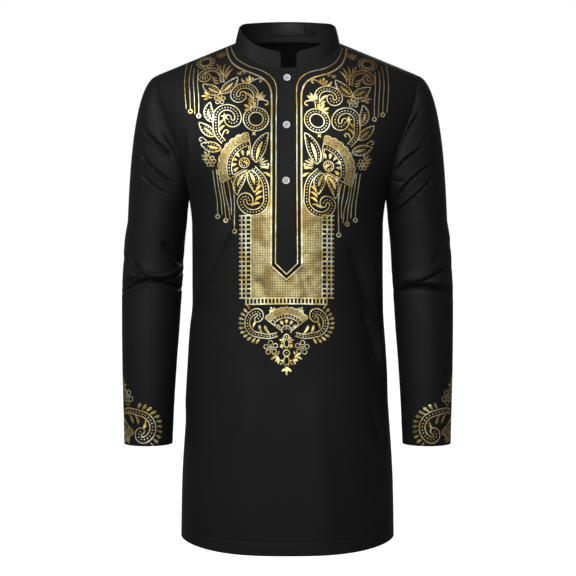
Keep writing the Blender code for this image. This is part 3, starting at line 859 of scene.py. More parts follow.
def makeSleeve(name, hand, folds, node):
    column = -1 if hand > 0 else 0
    grid, angle = sleeveSurface(hand, backGrid[lowRows:, column], frontGrid[lowRows:, column])
    outward = facing(grid, closed=True)
    outward *= np.sign(outward[-1, 0, 0] * hand)
    start = grid[0].copy()
    nearSeam = np.linalg.norm(grid - start, axis=-1)[..., None]
    grid = grid + (folded(grid, outward, folds) - grid) * smooth(0, sleeves["foldsFrom"], nearSeam)
    inward = -outward
    inward[0] = -armholeOut(angle, hand)
    fromSeam = np.linalg.norm(grid - grid[:1], axis=-1)
    line = sleeves["end"] + sleeves["hemLine"]
    depth = sunk(fromSeam, *body["armholeGroove"]) + sunk(grid[..., 2] - line, *body["hemGroove"])
    grid = grid + inward * depth[..., None]
    grid[0] = start
    piece = wall(name, grid, inward, doubled(grid, line), blackCloth, closed=True)
    return place(piece, "cloth", node), grid


frontPiece, frontGrid, lowRows = makeBody("frontPanel", -1, "front")
backPiece, backGrid, lowRows = makeBody("backPanel", 1, "back")
leftSleeve, leftGrid = makeSleeve("leftSleeve", 1, leftFolds + leftCreases, "sleeve_left")
rightSleeve, rightGrid = makeSleeve("rightSleeve", -1, rightFolds + rightCreases, "sleeve_right")
print("body and sleeves made")


def neckEdge(x, side):
    z = neckline(x, side)
    return np.stack([x, bodyY(x, z, side), z], axis=-1)


def makeCollar():
    neck = body["neckHalfWidth"]
    quarter = np.pi / 2
    right, left = (
        neck * np.sin(np.linspace(np.arcsin(abs(end) / neck), quarter, collar["frontSteps"]))
        for end in collar["ends"])
    behind = neck * np.sin(np.linspace(-quarter, quarter, collar["backSteps"]))[1:-1]
    path = np.concatenate([neckEdge(-right, -1), neckEdge(behind, 1), neckEdge(left, -1)[::-1]])
    at = distance(path)
    near = collar["corner"] * (1 - np.cos(np.linspace(0, quarter, collar["cornerSteps"])))
    middle = np.linspace(near[-1], at[-1] - near[-1], collar["columns"])[1:-1]
    wanted = np.concatenate([near, middle, at[-1] - near[::-1]])
    path = onEach(wanted, at, path)
    fromMiddle = path - np.array([0, body["middle"], 0])
    tangent = np.gradient(path, axis=0)
    out = unit(np.stack([-tangent[:, 1], tangent[:, 0], 0 * wanted], axis=-1))
    out *= np.sign((out * fromMiddle).sum(axis=1))[:, None]
    lean = collar["lean"] * (collar["frontLean"] + (1 - collar["frontLean"]) * np.abs(out[:, :1]))
    rise = unit(-out * lean + np.array([0, 0, 1.0]))
    share = fromMiddle[:, 1] / collar["rise"]
    height = collar["front"] + (collar["back"] - collar["front"]) * smooth(0, 1, share)
    inCorner = np.clip(collar["corner"] - np.minimum(wanted, wanted[-1] - wanted), 0, collar["corner"])
    height += np.sqrt(collar["corner"] ** 2 - inCorner ** 2) - collar["corner"]
    shares = np.linspace(0, 1, collar["rows"])
    grid = np.array([path + rise * height[:, None] * s for s in shares])
    inward = np.repeat(-out[None], len(shares), axis=0)
    fromEdge = np.minimum(shares[:, None] * height, (1 - shares[:, None]) * height)
    stitched = sunk(fromEdge - collar["stitchIn"], *collar["groove"])
    puff = collar["puff"] * np.sin(np.pi * shares)[:, None] - stitched
    grid = grid - inward * (puff[..., None] + collar["proud"])
    grid[0] -= rise * collar["lap"]  # the band is sewn over the neck edge
    piece = rounded(wall("collarBand", grid, inward, collar["thickness"], blackCloth), collar["edge"])
    return place(piece, "cloth", "collar"), grid, inward


def placketMiddle(z):
    share = (z - placket["tip"][1]) / (placket["top"][1] - placket["tip"][1])
    return placket["tip"][0] + (placket["top"][0] - placket["tip"][0]) * share


def frontStrip(shares, pointed):
    # Points down the middle of the front, from the neckline to the tip, on its folds.
    tip, start, step = placket["tip"][1], placket["pointStart"], placket["rowStep"]
    above = np.arange(start + step, placket["rowsEnd"], step)
    rows = np.concatenate([np.linspace(tip, start, placket["pointRows"]), above])
    heights = np.array([np.full_like(shares, z) for z in rows])
    last = neckline(shares * placket["halfWidth"] + placket["top"][0], -1)
    rest = np.array([rows[-1] + (last - rows[-1]) * share for share in placket["topRows"]])
    z = np.concatenate([heights, rest])
    narrow = np.clip((z - tip) / (start - tip), placket["pointShare"], 1) if pointed else np.ones_like(z)
    half = placket["halfWidth"] + (0 if pointed else placket["underlap"])
    x = shares[None] * half * narrow + placketMiddle(z)
    grid = np.stack([x, bodyY(x, z, -1), z], axis=-1)
    outward = facing(grid)
    outward *= -np.sign(outward[..., 1:2])
    return folded(grid, outward, bodyFolds + bodyCreases), outward, narrow * half


def makeStrip(name, node, grid, outward):
    piece = wall(name, grid, -outward, placket["thickness"], blackCloth)
    return place(rounded(piece, placket["edge"]), "cloth", node)


def makeFlap():
    edge = np.array(placket["edgeColumns"])
    shares = np.concatenate([-edge[::-1], np.linspace(*placket["columns"]), edge])
    grid, outward, half = frontStrip(shares, True)
    inside = (1 - np.abs(shares))[None] * half
    lift = placket["lift"] - sunk(inside - placket["stitchIn"], *placket["groove"])
    return makeStrip("placketFlap", "placket", grid + outward * lift[..., None], outward)


def makeFacing():
    grid, outward, half = frontStrip(np.linspace(-1, 1, placket["columns"][-1]), False)
    return makeStrip("placketFacing", "under_placket", grid - outward * placket["lift"], outward)


collarPiece, collarGrid, collarInward = makeCollar()
placketPiece, facingPiece = makeFlap(), makeFacing()
print("collar and placket made")


# The foil print, in points across from its middle line and up the cloth.
gold = {
    "line": 1.55,
    "dot": 1.15,
    "leafDot": 0.9,
    "dotStep": 4.9,
    "step": 1.5,
    "lift": 0.22,
    "stagger": 0.008,
    "sink": 0.2,
    "middle": -1.6,
    "level": -140,  # how far up the cloth a point lies is measured from this height
    "drop": 6,  # the wearer's left half hangs this much lower at the shoulder
    "dropStart": 22,
    "dropWidth": 55,
    "cuffScale": 1.18,
    "cuffHeight": -620.7,
    "pendantHeight": -489,
    "sharpest": 0.45,
    "curveSteps": 14,
    "arcStep": 12,  # degrees
    "ringSides": (10, 2.6),  # at the least, and for each millimetre of its radius
    "flowerRing": (1.1, 9),  # width and sides
    "ovalSides": 18,
    "halfRing": 1.4,
    "layers": 7,
}
leafForm = {
    "fewest": 8,
    "power": 0.85,
    "blunt": 0.75,
    "steps": 41,
    "petalEnd": 27,
    "petalStart": 0.06,
    "petalBend": 0.8,
    "dotsOut": 0.62,
    "dots": (0.14, 0.9),
}
budForm = {"steps": 8, "fullest": 0.68, "stalk": 0.12, "power": 1.5}
petalForm = {"steps": 7, "power": 1.16, "blunt": 0.8, "least": 0.18}
sprigForm = {"shorter": 0.18, "bend": 0.12}
curlForm = {"turn": 0.6, "curl": 0.5, "curlTurn": 0.5, "taper": (0.6, 1, 1, 1), "dot": 0.8, "dotSides": 8}
tasselForm = {"step": 3, "line": 1.25, "ring": 3.1, "ringLine": 2, "hang": 3.2, "sides": 12}
hookForm = {"at": (0, 0.25, 0.6, 0.85, 0.95, 1), "width": (0.75, 0.95, 1, 1.12, 1.18, 1.1), "capSteps": 7}
fanForm = {
    "steps": 10,
    "scallop": 0.04,
    "inside": 0.77,
    "rails": (0.06, 0.36, 0.66, 0.95),
    "rib": (0.2, 1, 18),
    "trim": 0.05,
    "arc": 0.635,
    "dots": 0.705,
    "margin": 6,  # degrees
    "arcSteps": 40,
    "line": 1.2,
    "edgeLine": 1.3,
    "trimLine": 1.6,
    "trimFrom": 1,
    "trimTo": 10,
    "trimTaper": (0.2, 1),
}
ink = []  # each shape of the print: its points on the cloth, its faces, and the tone of its foil


def resampled(path, step):
    at = distance(path)
    return onEach(np.linspace(0, at[-1], max(round(at[-1] / step), 2) + 1), at, path)


def curve(points, step=gold["step"]):
    # A smooth line through the points.
    p = np.asarray(points, float)
    p = np.concatenate([[2 * p[0] - p[1]], p, [2 * p[-1] - p[-2]]])
    t = np.linspace(0, 1, gold["curveSteps"], endpoint=False)[:, None]
    line = []
    for a, b, c, d in zip(p, p[1:], p[2:], p[3:]):
        bend = (2 * a - 5 * b + 4 * c - d) * t ** 2 + (3 * b - a - 3 * c + d) * t ** 3
        line.append(b + 0.5 * ((c - a) * t + bend))
    return resampled(np.concatenate([*line, p[-2:-1]]), step)


def runs(points, step=4):
    # Straight runs that keep their corners.
    p = np.asarray(points, float)
    parts = []
    for a, b in zip(p, p[1:]):
        parts.append(np.linspace(a, b, max(int(np.hypot(*(b - a)) / step), 1), endpoint=False))
    return np.concatenate([*parts, p[-1:]])


def beside(path, closed=False):
    # Which way is left of each point, longer at a corner so that a line keeps its width.
    ahead = unit(np.roll(path, -1, axis=0) - path)
    if not closed:
        ahead[-1] = ahead[-2]
    behind = np.roll(ahead, 1, axis=0)
    if not closed:
        behind[0] = ahead[0]
    mean = unit(ahead + behind)
    straight = np.clip((mean * ahead).sum(axis=1, keepdims=True), gold["sharpest"], 1)
    return np.stack([-mean[:, 1], mean[:, 0]], axis=1) / straight


def roundPoints(centre, radius, start=0, turn=360, count=None, closed=True):
    angle = np.radians(np.linspace(start, start + turn, count, endpoint=not closed))
    return np.asarray(centre) + radius * np.stack([np.cos(angle), np.sin(angle)], axis=1)


def arcOf(centre, radius, start, turn):
    return roundPoints(centre, radius, start, turn, max(int(abs(turn) / gold["arcStep"]), 2) + 1, False)


def strip(left, right, tone, closed=False):
    count = len(left)
    faces = [(n, n + count, (n + 1) % count + count, (n + 1) % count) for n in range(count - 1 + closed)]
    ink.append((np.concatenate([left, right]), faces, tone))


def ribbon(path, width=gold["line"], closed=False, taper=(1, 1)):
    half = width / 2 * np.interp(np.linspace(0, 1, len(path)), np.linspace(0, 1, len(taper)), taper)
    side = beside(path, closed) * half[:, None]
    strip(path + side, path - side, lineTone, closed)


def disc(centre, radius, sides=6):
    ink.append((roundPoints(centre, radius, count=sides), [tuple(range(sides))], lineTone))


def ring(centre, radius, width=gold["line"], sides=None):
    least, each = gold["ringSides"]
    ribbon(roundPoints(centre, radius, count=sides or int(max(least, radius * each))), width, closed=True)


def ringDots(centre, radius, count):
    for point in roundPoints(centre, radius, count=count):
        disc(point, gold["dot"])


def dotsAlong(path, radius=gold["dot"]):
    fine = resampled(path, gold["dotStep"])
    for point in (fine[1:] + fine[:-1]) / 2:
        disc(point, radius)


def leafAxis(base, tip, bend, count):
    base, tip = np.asarray(base, float), np.asarray(tip, float)
    run = tip - base
    t = np.linspace(0, 1, count)[:, None]
    axis = base + run * t + np.array([-run[1], run[0]]) * bend * 4 * t * (1 - t)
    return axis, beside(axis), t


def petal(base, tip, width, bend=0.0):
    # A filled leaf with two points, widest a little way along.
    axis, side, t = leafAxis(base, tip, bend, petalForm["steps"])
    full = np.sin(np.pi * t ** petalForm["power"]) ** petalForm["blunt"]
    half = np.maximum(width / 2 * full, petalForm["least"])
    strip(axis + side * half, axis - side * half, petalTone)


def bud(base, tip, width, bend=0.0):
    # A filled drop, pointed at its base and round at its end.
    axis, side, t = leafAxis(base, tip, bend, budForm["steps"])
    fullest, least = budForm["fullest"], budForm["stalk"]
    stalk = least + (1 - least) * np.sin(np.pi / 2 * np.minimum(t / fullest, 1)) ** budForm["power"]
    end = np.sqrt(np.clip(1 - ((t - fullest) / (1 - fullest)) ** 2, 0, 1))
    half = width / 2 * np.maximum(np.where(t > fullest, end, stalk), least)
    strip(axis + side * half, axis - side * half, petalTone)


def leaf(base, tip, width, bend=0.0, inner=0.27):
    # An outline with a filled petal inside it and a row of dots along each side.
    base, tip = np.asarray(base, float), np.asarray(tip, float)
    count = max(int(np.hypot(*(tip - base)) / gold["step"]), leafForm["fewest"])
    axis, side, t = leafAxis(base, tip, bend, count)
    half = width / 2 * np.maximum(np.sin(np.pi * t ** leafForm["power"]), 0) ** leafForm["blunt"]
    half[0] = half[-1] = 0
    ribbon(np.concatenate([axis + side * half, (axis - side * half)[-2:0:-1]]), closed=True)
    far = leafAxis(base, tip, bend, leafForm["steps"])[0][leafForm["petalEnd"]]
    petal(base + (far - base) * leafForm["petalStart"], far, width * inner, bend * leafForm["petalBend"])
    first, last = (int(count * share) for share in leafForm["dots"])
    for sign in (1, -1):
        dotsAlong((axis + sign * side * half * leafForm["dotsOut"])[first:last], gold["leafDot"])


def hooked(tail, centre, radius, start, turn, curl, curlTurn):
    # A line from the tail into a wide arc round the centre, which closes into a tighter one. Angles are in
    # degrees, and a negative turn runs clockwise.
    wide = arcOf(centre, radius, start, turn)
    far = np.radians(start + turn)
    inner = wide[-1] - curl * np.array([np.cos(far), np.sin(far)])
    return curve(np.concatenate([tail, wide, arcOf(inner, curl, start + turn, curlTurn)[1:]]))


def hook(tail, centre, radius, start, turn, curl, curlTurn, width):
    # A dotted band that ends in a round hook.
    line = hooked(tail, centre, radius, start, turn, curl, curlTurn)
    side = beside(line)
    share = np.linspace(0, 1, len(line))
    half = width / 2 * np.interp(share, hookForm["at"], hookForm["width"])[:, None]
    cap = np.linspace(0, np.pi, hookForm["capSteps"])[1:-1, None]
    forward = np.array([side[-1][1], -side[-1][0]])
    end = line[-1] + half[-1] * (np.cos(cap) * side[-1] + np.sin(cap) * forward)
    ribbon(np.concatenate([line + side * half, end, (line - side * half)[::-1]]))
    dotsAlong(line)


def sprig(base, way, length, width, count, spread):
    # Filled petals fanned out from one point, the middle one pointing way degrees.
    for off in np.linspace(-1, 1, count):
        reach = length * (1 - sprigForm["shorter"] * abs(off))
        tip = roundPoints(base, reach, way + off * spread, count=1)[0]
        petal(base, tip, width, sprigForm["bend"] * off)


def curlLine(base, centre, radius, start, turn, width):
    # A stalk that ends in a small curl.
    curl, curlTurn = radius * curlForm["curl"], turn * curlForm["curlTurn"]
    line = hooked(base, centre, radius, start, turn * curlForm["turn"], curl, curlTurn)
    ribbon(line, width, taper=curlForm["taper"])
    disc(line[-1], width * curlForm["dot"], curlForm["dotSides"])


def fan(pivot, radius, start, end, scallops):
    # A spread fan: a scalloped band of grained foil, a dotted arc inside it, and trimmed sides.
    t = np.linspace(0, 1, scallops * fanForm["steps"] + 1)
    angle = np.radians(start + (end - start) * t)[:, None]
    way = np.concatenate([np.cos(angle), np.sin(angle)], axis=1)
    edge = pivot + way * radius * (1 + fanForm["scallop"] * np.abs(np.sin(np.pi * t * scallops)))[:, None]
    inside = pivot + way * radius * fanForm["inside"]
    rails = [inside + (edge - inside) * share for share in fanForm["rails"]]
    for near, far in zip(rails, rails[1:]):
        strip(far, near, grainTone)
    ribbon(edge, fanForm["edgeLine"])
    ribbon(inside, fanForm["line"])
    for side, out in ((1, way[0]), (-1, way[-1])):
        rib = pivot + out * radius * np.linspace(*fanForm["rib"])[:, None]
        ribbon(rib, fanForm["line"])
        beyond = np.array([-out[1], out[0]]) * side * radius * fanForm["trim"]
        trim = rib[fanForm["trimFrom"]:fanForm["trimTo"]] + beyond
        ribbon(trim, fanForm["trimLine"], taper=fanForm["trimTaper"])
    start, turn = start + fanForm["margin"], end - start - 2 * fanForm["margin"]
    arc, dots = (
        roundPoints(pivot, radius * fanForm[row], start, turn, fanForm["arcSteps"], False)
        for row in ("arc", "dots"))
    ribbon(arc, fanForm["line"])
    dotsAlong(dots)


def buds(centre, near, far, first, last, count, width, lean=0):
    # Buds set out round a centre. lean turns their feet on along the row, in degrees.
    for share in np.linspace(0, 1, count):
        angle = first + (last - first) * share
        foot = roundPoints(centre, near, angle + lean * share, count=1)[0]
        bud(foot, roundPoints(centre, far, angle, count=1)[0], width)


def flower(centre, radius, small, count, turn):
    # A flower of small rings.
    for at in roundPoints(centre, radius, turn, count=count):
        ring(at, small, *gold["flowerRing"])


def star(centre, radius, points, turn, inner):
    reach = np.where(np.arange(points * 2) % 2, radius * inner, radius)[:, None]
    outline = roundPoints(centre, reach, turn, count=points * 2)
    faces = [(0, n + 1, (n + 1) % (points * 2) + 1) for n in range(points * 2)]
    ink.append((np.concatenate([[centre], outline]), faces, petalTone))


def tassel(ringed, *points):
    line = curve(points, tasselForm["step"])
    ribbon(line, tasselForm["line"])
    if ringed:
        hung = line[-1] - [0, tasselForm["hang"]]
        ring(hung, tasselForm["ring"], tasselForm["ringLine"], tasselForm["sides"])


def oval(centre, across, high, width):
    outline = roundPoints((0, 0), 1, count=gold["ovalSides"]) * [across, high]
    ribbon(np.asarray(centre) + outline, width, closed=True)


def border(width, bend, run):
    # A line that follows the first points in a smooth bend and the others in straight runs.
    ribbon(np.concatenate([curve(bend, 2), runs(run)] if bend else [runs(run)]), width)


def halfRing(centre, radius, start, turn):
    ribbon(arcOf(centre, radius, start, turn), gold["halfRing"])


def drawn(motifs):
    # The shapes that a table of motifs makes.
    ink.clear()
    for make, rows in motifs:
        for row in rows:
            make(*row)
    return list(ink)


def both(shapes, drop):
    # The same shapes again on the wearer's left, hung lower there by drop.
    twins = []
    for points, faces, tone in shapes:
        lower = drop * smooth(0, 1, (np.abs(points[:, 0]) - gold["dropStart"]) / gold["dropWidth"])
        hung = points * [-1, 1] - np.stack([0 * lower, lower], axis=1)
        twins.append((hung, [face[::-1] for face in faces], tone))
    return shapes + twins


yokeMotifs = [
    (border, [
        (2.5, [(-101, 18), (-98, -6), (-92.5, -23.5), (-84, -34.5), (-71.5, -43), (-56.5, -50), (-44.5, -56),
         (-34, -64.5), (-28, -74.5), (-25, -86.5), (-24.5, -99)], [(-24.5, -104.5), (-24.5, -237),
         (-25, -376.5), (0.5, -400)]),
        (1.4, [(-93.5, 17), (-90.5, 0), (-84, -17), (-74.5, -27.5), (-61, -36.5), (-47.5, -42), (-34, -49),
         (-23.5, -58.5), (-18, -70), (-16.5, -82.5), (-16.5, -97)], [(-17, -104.5), (-17, -237),
         (-18, -372.5), (0.5, -391)]),
    ]),
    (tassel, [
        (False, (-167, -18.5), (-169, -61), (-167.5, -90.5), (-165, -115.5)),
        (True, (-158.5, -22), (-161.5, -61), (-159.5, -90.5), (-158, -116.5)),
        (False, (-153.5, -35), (-154.5, -61.5), (-152, -94), (-150.5, -124.5)),
        (True, (-147, -38), (-147, -67.5), (-144.5, -96), (-144, -124.5)),
        (True, (-120.5, -218.5), (-117, -244), (-113.5, -267), (-112.5, -291)),
        (False, (-114.5, -216.5), (-111, -244), (-107, -267), (-105, -291.5)),
        (True, (-109, -224.5), (-105, -251), (-101, -275.5), (-99, -297.5)),
        (False, (-103, -237), (-99.5, -259), (-94.5, -279), (-92, -299.5)),
        (False, (-95.5, -236.5), (-92, -256), (-90, -274), (-89.5, -292)),
        (True, (-89.5, -235), (-85.5, -254.5), (-84.5, -284), (-85, -315.5)),
    ]),
    (ring, [
        ((-135, -21.5), 8.6, 1.5, 20),
        ((-109.5, -98.5), 2, 1.1, 8),
        ((-50, -133), 20.6, 1.8),
        ((-50, -133), 11.8, 1.7),
        ((-124, -203.5), 2.2, 1.1, 8),
        ((-68.5, -207.5), 8.2, 1.3),
    ]),
    (flower, [
        ((-135, -21.5), 13.2, 3.1, 12, 0),
        ((-109.5, -98.5), 6.3, 3, 5, 90),
        ((-124, -203.5), 6.2, 2.9, 6, 60),
    ]),
    (sprig, [
        ((-109.5, -5.5), 90, 11, 3.2, 7, 150),
        ((-109.5, -5.5), -90, 8, 2.6, 3, 60),
        ((-79.5, -52), 60, 7, 2, 3, 45),
        ((-127, -93), 178, 13.5, 4.2, 3, 36),
        ((-60, -68), 96, 15, 4, 3, 26),
        ((-47, -97), 58, 16, 4.2, 3, 34),
        ((-57, -114), 132, 15, 4.6, 4, 62),
        ((-129, -196.5), 140, 12, 3.6, 4, 60),
        ((-44, -209), 20, 15, 2.6, 3, 24),
    ]),
    (hook, [
        ([(-105.5, -67.5), (-107.5, -53.5)], (-125, -58.5), 18.5, 42, 122, 6.6, 235, 6.6),
        ([(-51.5, -112)], (-68.5, -92), 18.6, -4, 178, 7.8, 200, 8.8),
        ([(-102.5, -172.5), (-114, -156)], (-97.5, -131), 18.2, 172, -184, 8.2, -178, 9.8),
        ([(-53.5, -216), (-46, -224.5), (-39, -233), (-34, -246)], (-53.8, -267.5), 21.4, 10, -180, 7.8, -200,
         8.8),
    ]),
    (petal, [
        ((-113.5, -58.5), (-125, -53.5), 3, 0.18),
        ((-112, -63.5), (-122.5, -60), 3, 0.18),
        ((-110.5, -68), (-121, -65.5), 3, 0.18),
        ((-102.5, -55.5), (-109.5, -31), 3, 0.12),
        ((-101.5, -57.5), (-101, -28.5), 3, 0.12),
        ((-100.5, -59.5), (-92, -32.5), 3, 0.12),
        ((-99.5, -62), (-87.5, -39.5), 3, 0.12),
        ((-111, -39), (-116.5, -28), 3),
        ((-121.5, -95.5), (-131.5, -93), 3, 0.1),
        ((-54.5, -102), (-67.5, -85.5), 4.2, -0.12),
        ((-54, -105.5), (-64, -96.5), 3, -0.05),
        ((-61, -68.5), (-74.5, -59), 4.2, 0.22),
        ((-46.5, -98), (-33, -91), 3.8, 0.1),
        ((-110.5, -146), (-102.5, -135), 4.4, 0.14),
        ((-109.5, -155), (-100.5, -144.5), 4.2, 0.14),
        ((-61, -212), (-71, -205.5), 4, -0.12),
        ((-39.5, -245), (-48.5, -253.5), 4.4, -0.14),
        ((-38.5, -254.5), (-50, -261.5), 4.4, -0.14),
        ((-38.5, -263.5), (-50.5, -270), 4.4, -0.14),
        ((-42, -274.5), (-57, -278), 4.4, -0.14),
    ]),
    (leaf, [
        ((-109.5, -87.5), (-138, -70.5), 17.5, 0.05),
        ((-108, -87), (-81, -57), 16.5, -0.05),
        ((-119.5, -138), (-125, -104), 15.5, 0.16),
        ((-117.5, -162), (-143, -139), 15, 0.03),
        ((-107, -183.5), (-140, -174.5), 16, 0.02),
        ((-49.5, -207), (-30, -157), 20.5, 0.07, 0.26),
        ((-65, -223), (-80, -259.5), 15.5, -0.14, 0.3),
        ((-61.5, -221), (-52, -256), 17.5, 0.1, 0.28),
    ]),
    (curlLine, [
        ([(-80, -52.5)], (-71.5, -48.5), 3, 150, -240, 1.2),
        ([(-59.5, -67.5), (-52.5, -62)], (-45.5, -63.5), 4, 120, -200, 2),
        ([(-47, -99), (-40.5, -98.5)], (-34.5, -104.5), 4.4, 80, -190, 2),
        ([(-106, -165)], (-98.5, -156.5), 4.2, 175, -230, 1.9),
        ([(-130, -170)], (-139, -167.5), 3.6, 60, 230, 1.3),
        ([(-43.5, -213), (-37.5, -215)], (-31.5, -211.5), 2.6, -60, 120, 2.2),
    ]),
    (ringDots, [
        ((-50, -133), 16.2, 21),
        ((-68.5, -207.5), 5.2, 8),
    ]),
    (star, [
        ((-53.5, -158.5), 4.8, 4, 45, 0.3),
        ((-101, -129), 7, 5, 100, 0.42),
    ]),
    (fan, [
        ((-53.5, -214), 56.5, 99, 206, 9),
    ]),
    (buds, [
        ((-68.5, -207.5), 12, 21.5, 70, 218, 6, 5.2),
    ]),
    (bud, [
        ((-42, -217), (-28.5, -217.5), 4.8, 0.15),
        ((-38, -224), (-26.5, -231), 4.4, 0.1),
    ]),
]
pendantMotifs = [
    (border, [
        (1.6, [], [(-66, -437), (-60, -446)]),
    ]),
    (hook, [
        ([(-15, -488.5), (-29.5, -491.5)], (-44.5, -469), 19.6, 256, -146, 6.6, -190, 8),
    ]),
    (buds, [
        ((-44.5, -469), 25.2, 34.4, 138, 262, 10, 4.3, 10),
    ]),
    (bud, [
        ((-54.5, -478.5), (-50, -466.5), 3.8, 0.1),
        ((-39, -486), (-44, -472.5), 4.2, 0.1),
        ((-26.5, -487.5), (-35.5, -473.5), 4.4, 0.1),
    ]),
    (sprig, [
        ((-22.5, -450), 118, 7.5, 2.6, 3, 48),
        ((-4.5, -498.5), 170, 7.5, 2.4, 3, 46),
        ((-5.5, -507), 205, 6, 2.2, 3, 40),
        ((-14.5, -523.5), 205, 12.5, 3.8, 3, 42),
        ((-4.5, -533.5), 215, 8, 2.6, 3, 60),
    ]),
    (flower, [
        ((-25.5, -510), 8, 3.7, 5, 95),
    ]),
    (ring, [
        ((-25.5, -510), 2.2, 1.1, 8),
    ]),
    (petal, [
        ((-14, -522), (-12, -515.5), 2.6),
        ((-14, -524), (-14.5, -537.5), 3.6, 0.1),
        ((-0.5, -541), (-8.5, -549), 4.2, 0.1),
    ]),
]
middleMotifs = [
    (fan, [
        ((0, -489), 43.5, 37.5, 142.5, 9),
    ]),
    (halfRing, [
        ((0, -482), 7.8, -30, 240),
    ]),
    (buds, [
        ((0, -482), 0.5, 5.6, 90, 90, 1, 2.6),
        ((0, -482), 10, 18.2, 28, 152, 5, 5),
    ]),
    (disc, [
        ((4, -480), 0.9),
        ((-4, -480), 0.9),
        ((0, -492.5), 1.1, 8),
        ((0, -519), 1.2, 8),
    ]),
    (ring, [
        ((0, -492.5), 4.2, 1.6, 12),
        ((0, -519), 5.2, 1.8, 14),
    ]),
    (oval, [
        ((0, -503.5), 4.2, 6.6, 1.5),
        ((0, -531.5), 4.4, 6.8, 1.5),
    ]),
    (petal, [
        ((0, -540.5), (0, -555.5), 4.4),
    ]),
]


mesh = {
    "bottom": -428,
    "top": -250,
    "halfWidth": 56.4,
    "pitch": 2.7,
    "hole": 1.75,
    "pointTop": -378.4,  # where the border turns in to its point
    "pointHalfWidth": 26.3,
    "pointTip": -402.4,
    "paisley": (-53.8, -267.5),
    "paisleyRadius": 26.7,
    "sideColumns": (-77.2, -74, -72, -67.4, -64.9, -58.9, -57.1),
    "sideTop": -291,
    "sidePitch": 7.46,
    "sideBar": 2.2,
    "barHalfWidth": 66,
    "barRows": (-439.5, -437.5, -430, -428.4),
    "barHoles": 22,
    "barLine": 2.3,
    "least": 0.05,  # a cell that the limit leaves lower than this is left out
}


def lattice(columns, rows, keep, tone=lineTone, limit=None):
    # The kept cells of a grid of lines, cut off at the limit.
    x, up = np.meshgrid(columns, rows)
    if limit is not None:
        top = limit(x)
        keep = keep & (up[:-1, :-1] < np.minimum(top[:-1, :-1], top[:-1, 1:]) - mesh["least"])
        up = np.minimum(up, top)
    wide = len(columns)
    first = [i * wide + j for i, j in np.argwhere(keep).tolist()]
    faces = [(n, n + 1, n + wide + 1, n + wide) for n in first]
    ink.append((np.stack([x.ravel(), up.ravel()], axis=1), faces, tone))


def lines(places, width):
    # Both edges of a line at each place.
    return (np.asarray(places)[:, None] + np.array([-0.5, 0.5]) * width).ravel()


def meshTop(x):
    # Under the border's point in the middle, and round the paisley beside it.
    away = np.abs(x)
    tip, side = mesh["pointTip"], mesh["pointHalfWidth"]
    under = tip + (mesh["pointTop"] - tip) * away / side
    limit = np.where(away < side, under, mesh["top"])
    off = np.abs(-away - mesh["paisley"][0])
    reach = np.sqrt(np.clip(mesh["paisleyRadius"] ** 2 - off ** 2, 0, None))
    return np.minimum(limit, np.where(reach > 0, mesh["paisley"][1] - reach, mesh["top"]))


def holed(columns, rows):
    keep = np.ones((len(rows) - 1, len(columns) - 1), bool)
    keep[1::2, 1::2] = False
    return keep


def meshShapes():
    ink.clear()
    half, pitch = mesh["halfWidth"], mesh["pitch"]
    columns = lines(np.linspace(-half, half, round(2 * half / pitch) + 1), pitch - mesh["hole"])
    rows = lines(np.arange(mesh["bottom"], mesh["top"], pitch), pitch - mesh["hole"])
    lattice(columns, rows, holed(columns, rows), meshTone, meshTop)
    rows = lines(np.arange(mesh["bottom"], mesh["sideTop"], mesh["sidePitch"]), mesh["sideBar"])
    for hand in (1, -1):
        columns = np.array(mesh["sideColumns"])[::hand] * hand
        keep = np.ones((len(rows) - 1, len(columns) - 1), bool)
        keep[1::2, ::2] = False
        if hand < 0:
            keep = keep[:, ::-1]
        lattice(columns, rows, keep)
    half = mesh["barHalfWidth"]
    columns = lines(np.linspace(-half, half, mesh["barHoles"] + 1), mesh["barLine"])
    lattice(columns, mesh["barRows"], holed(columns, mesh["barRows"]))
    return list(ink)


def thick(faces, count):
    # A flat shape's faces, the same faces turned over below them, and the walls between the two.
    edges = dict.fromkeys((face[n - 1], face[n]) for face in faces for n in range(len(face)))
    walls = [(b, a, a + count, b + count) for a, b in edges if (b, a) not in edges]
    return faces + [tuple(n + count for n in face[::-1]) for face in faces] + walls


def printed(name, shapes, onCloth, cloth):
    # Foil on the cloth: onCloth turns the print's points to points near the cloth's skin.
    skin = skins[cloth]
    points, faces, tones = [], [], []
    start = 0
    for number, (flat, shapeFaces, tone) in enumerate(shapes):
        lift = gold["lift"] + number % gold["layers"] * gold["stagger"]
        top, under = [], []
        for point in onCloth(flat):
            at, normal = skin.find_nearest(point)[:2]
            top.append(at + normal * lift)
            under.append(at - normal * gold["sink"])
        solid = thick(shapeFaces, len(flat))
        points += top + under
        faces += [tuple(n + start for n in face) for face in solid]
        tones += [tone] * len(solid)
        start += 2 * len(flat)
    piece = addMesh(name, points, faces, foils[0])
    for finish in foils[1:]:
        piece.data.materials.append(finish)
    piece.data.polygons.foreach_set("material_index", tones)
    return place(piece, "cloth")


clothStep = 2
clothLevels = np.arange(-700, 20, 0.5)
clothColumns = {}


def clothUp(column):
    # How far up the cloth each level lies on one column.
    if column not in clothColumns:
        y = bodyY(np.full_like(clothLevels, column * clothStep), clothLevels, -1)
        up = distance(np.stack([y, clothLevels], axis=1))
        clothColumns[column] = up - np.interp(gold["level"], clothLevels, up) + gold["level"]
    return clothColumns[column]


def frontCloth(flat):
    # From across and up the cloth of the front to points on it.
    x = flat[:, 0] + gold["middle"]
    low = np.floor(x / clothStep).astype(int)
    z = []
    for at, column, up in zip(x, low, flat[:, 1]):
        near, far = (np.interp(up, clothUp(n), clothLevels) for n in (column, column + 1))
        z.append(near + (far - near) * (at / clothStep - column))
    z = np.array(z)
    return np.stack([x, bodyY(x, z, -1), z], axis=1)


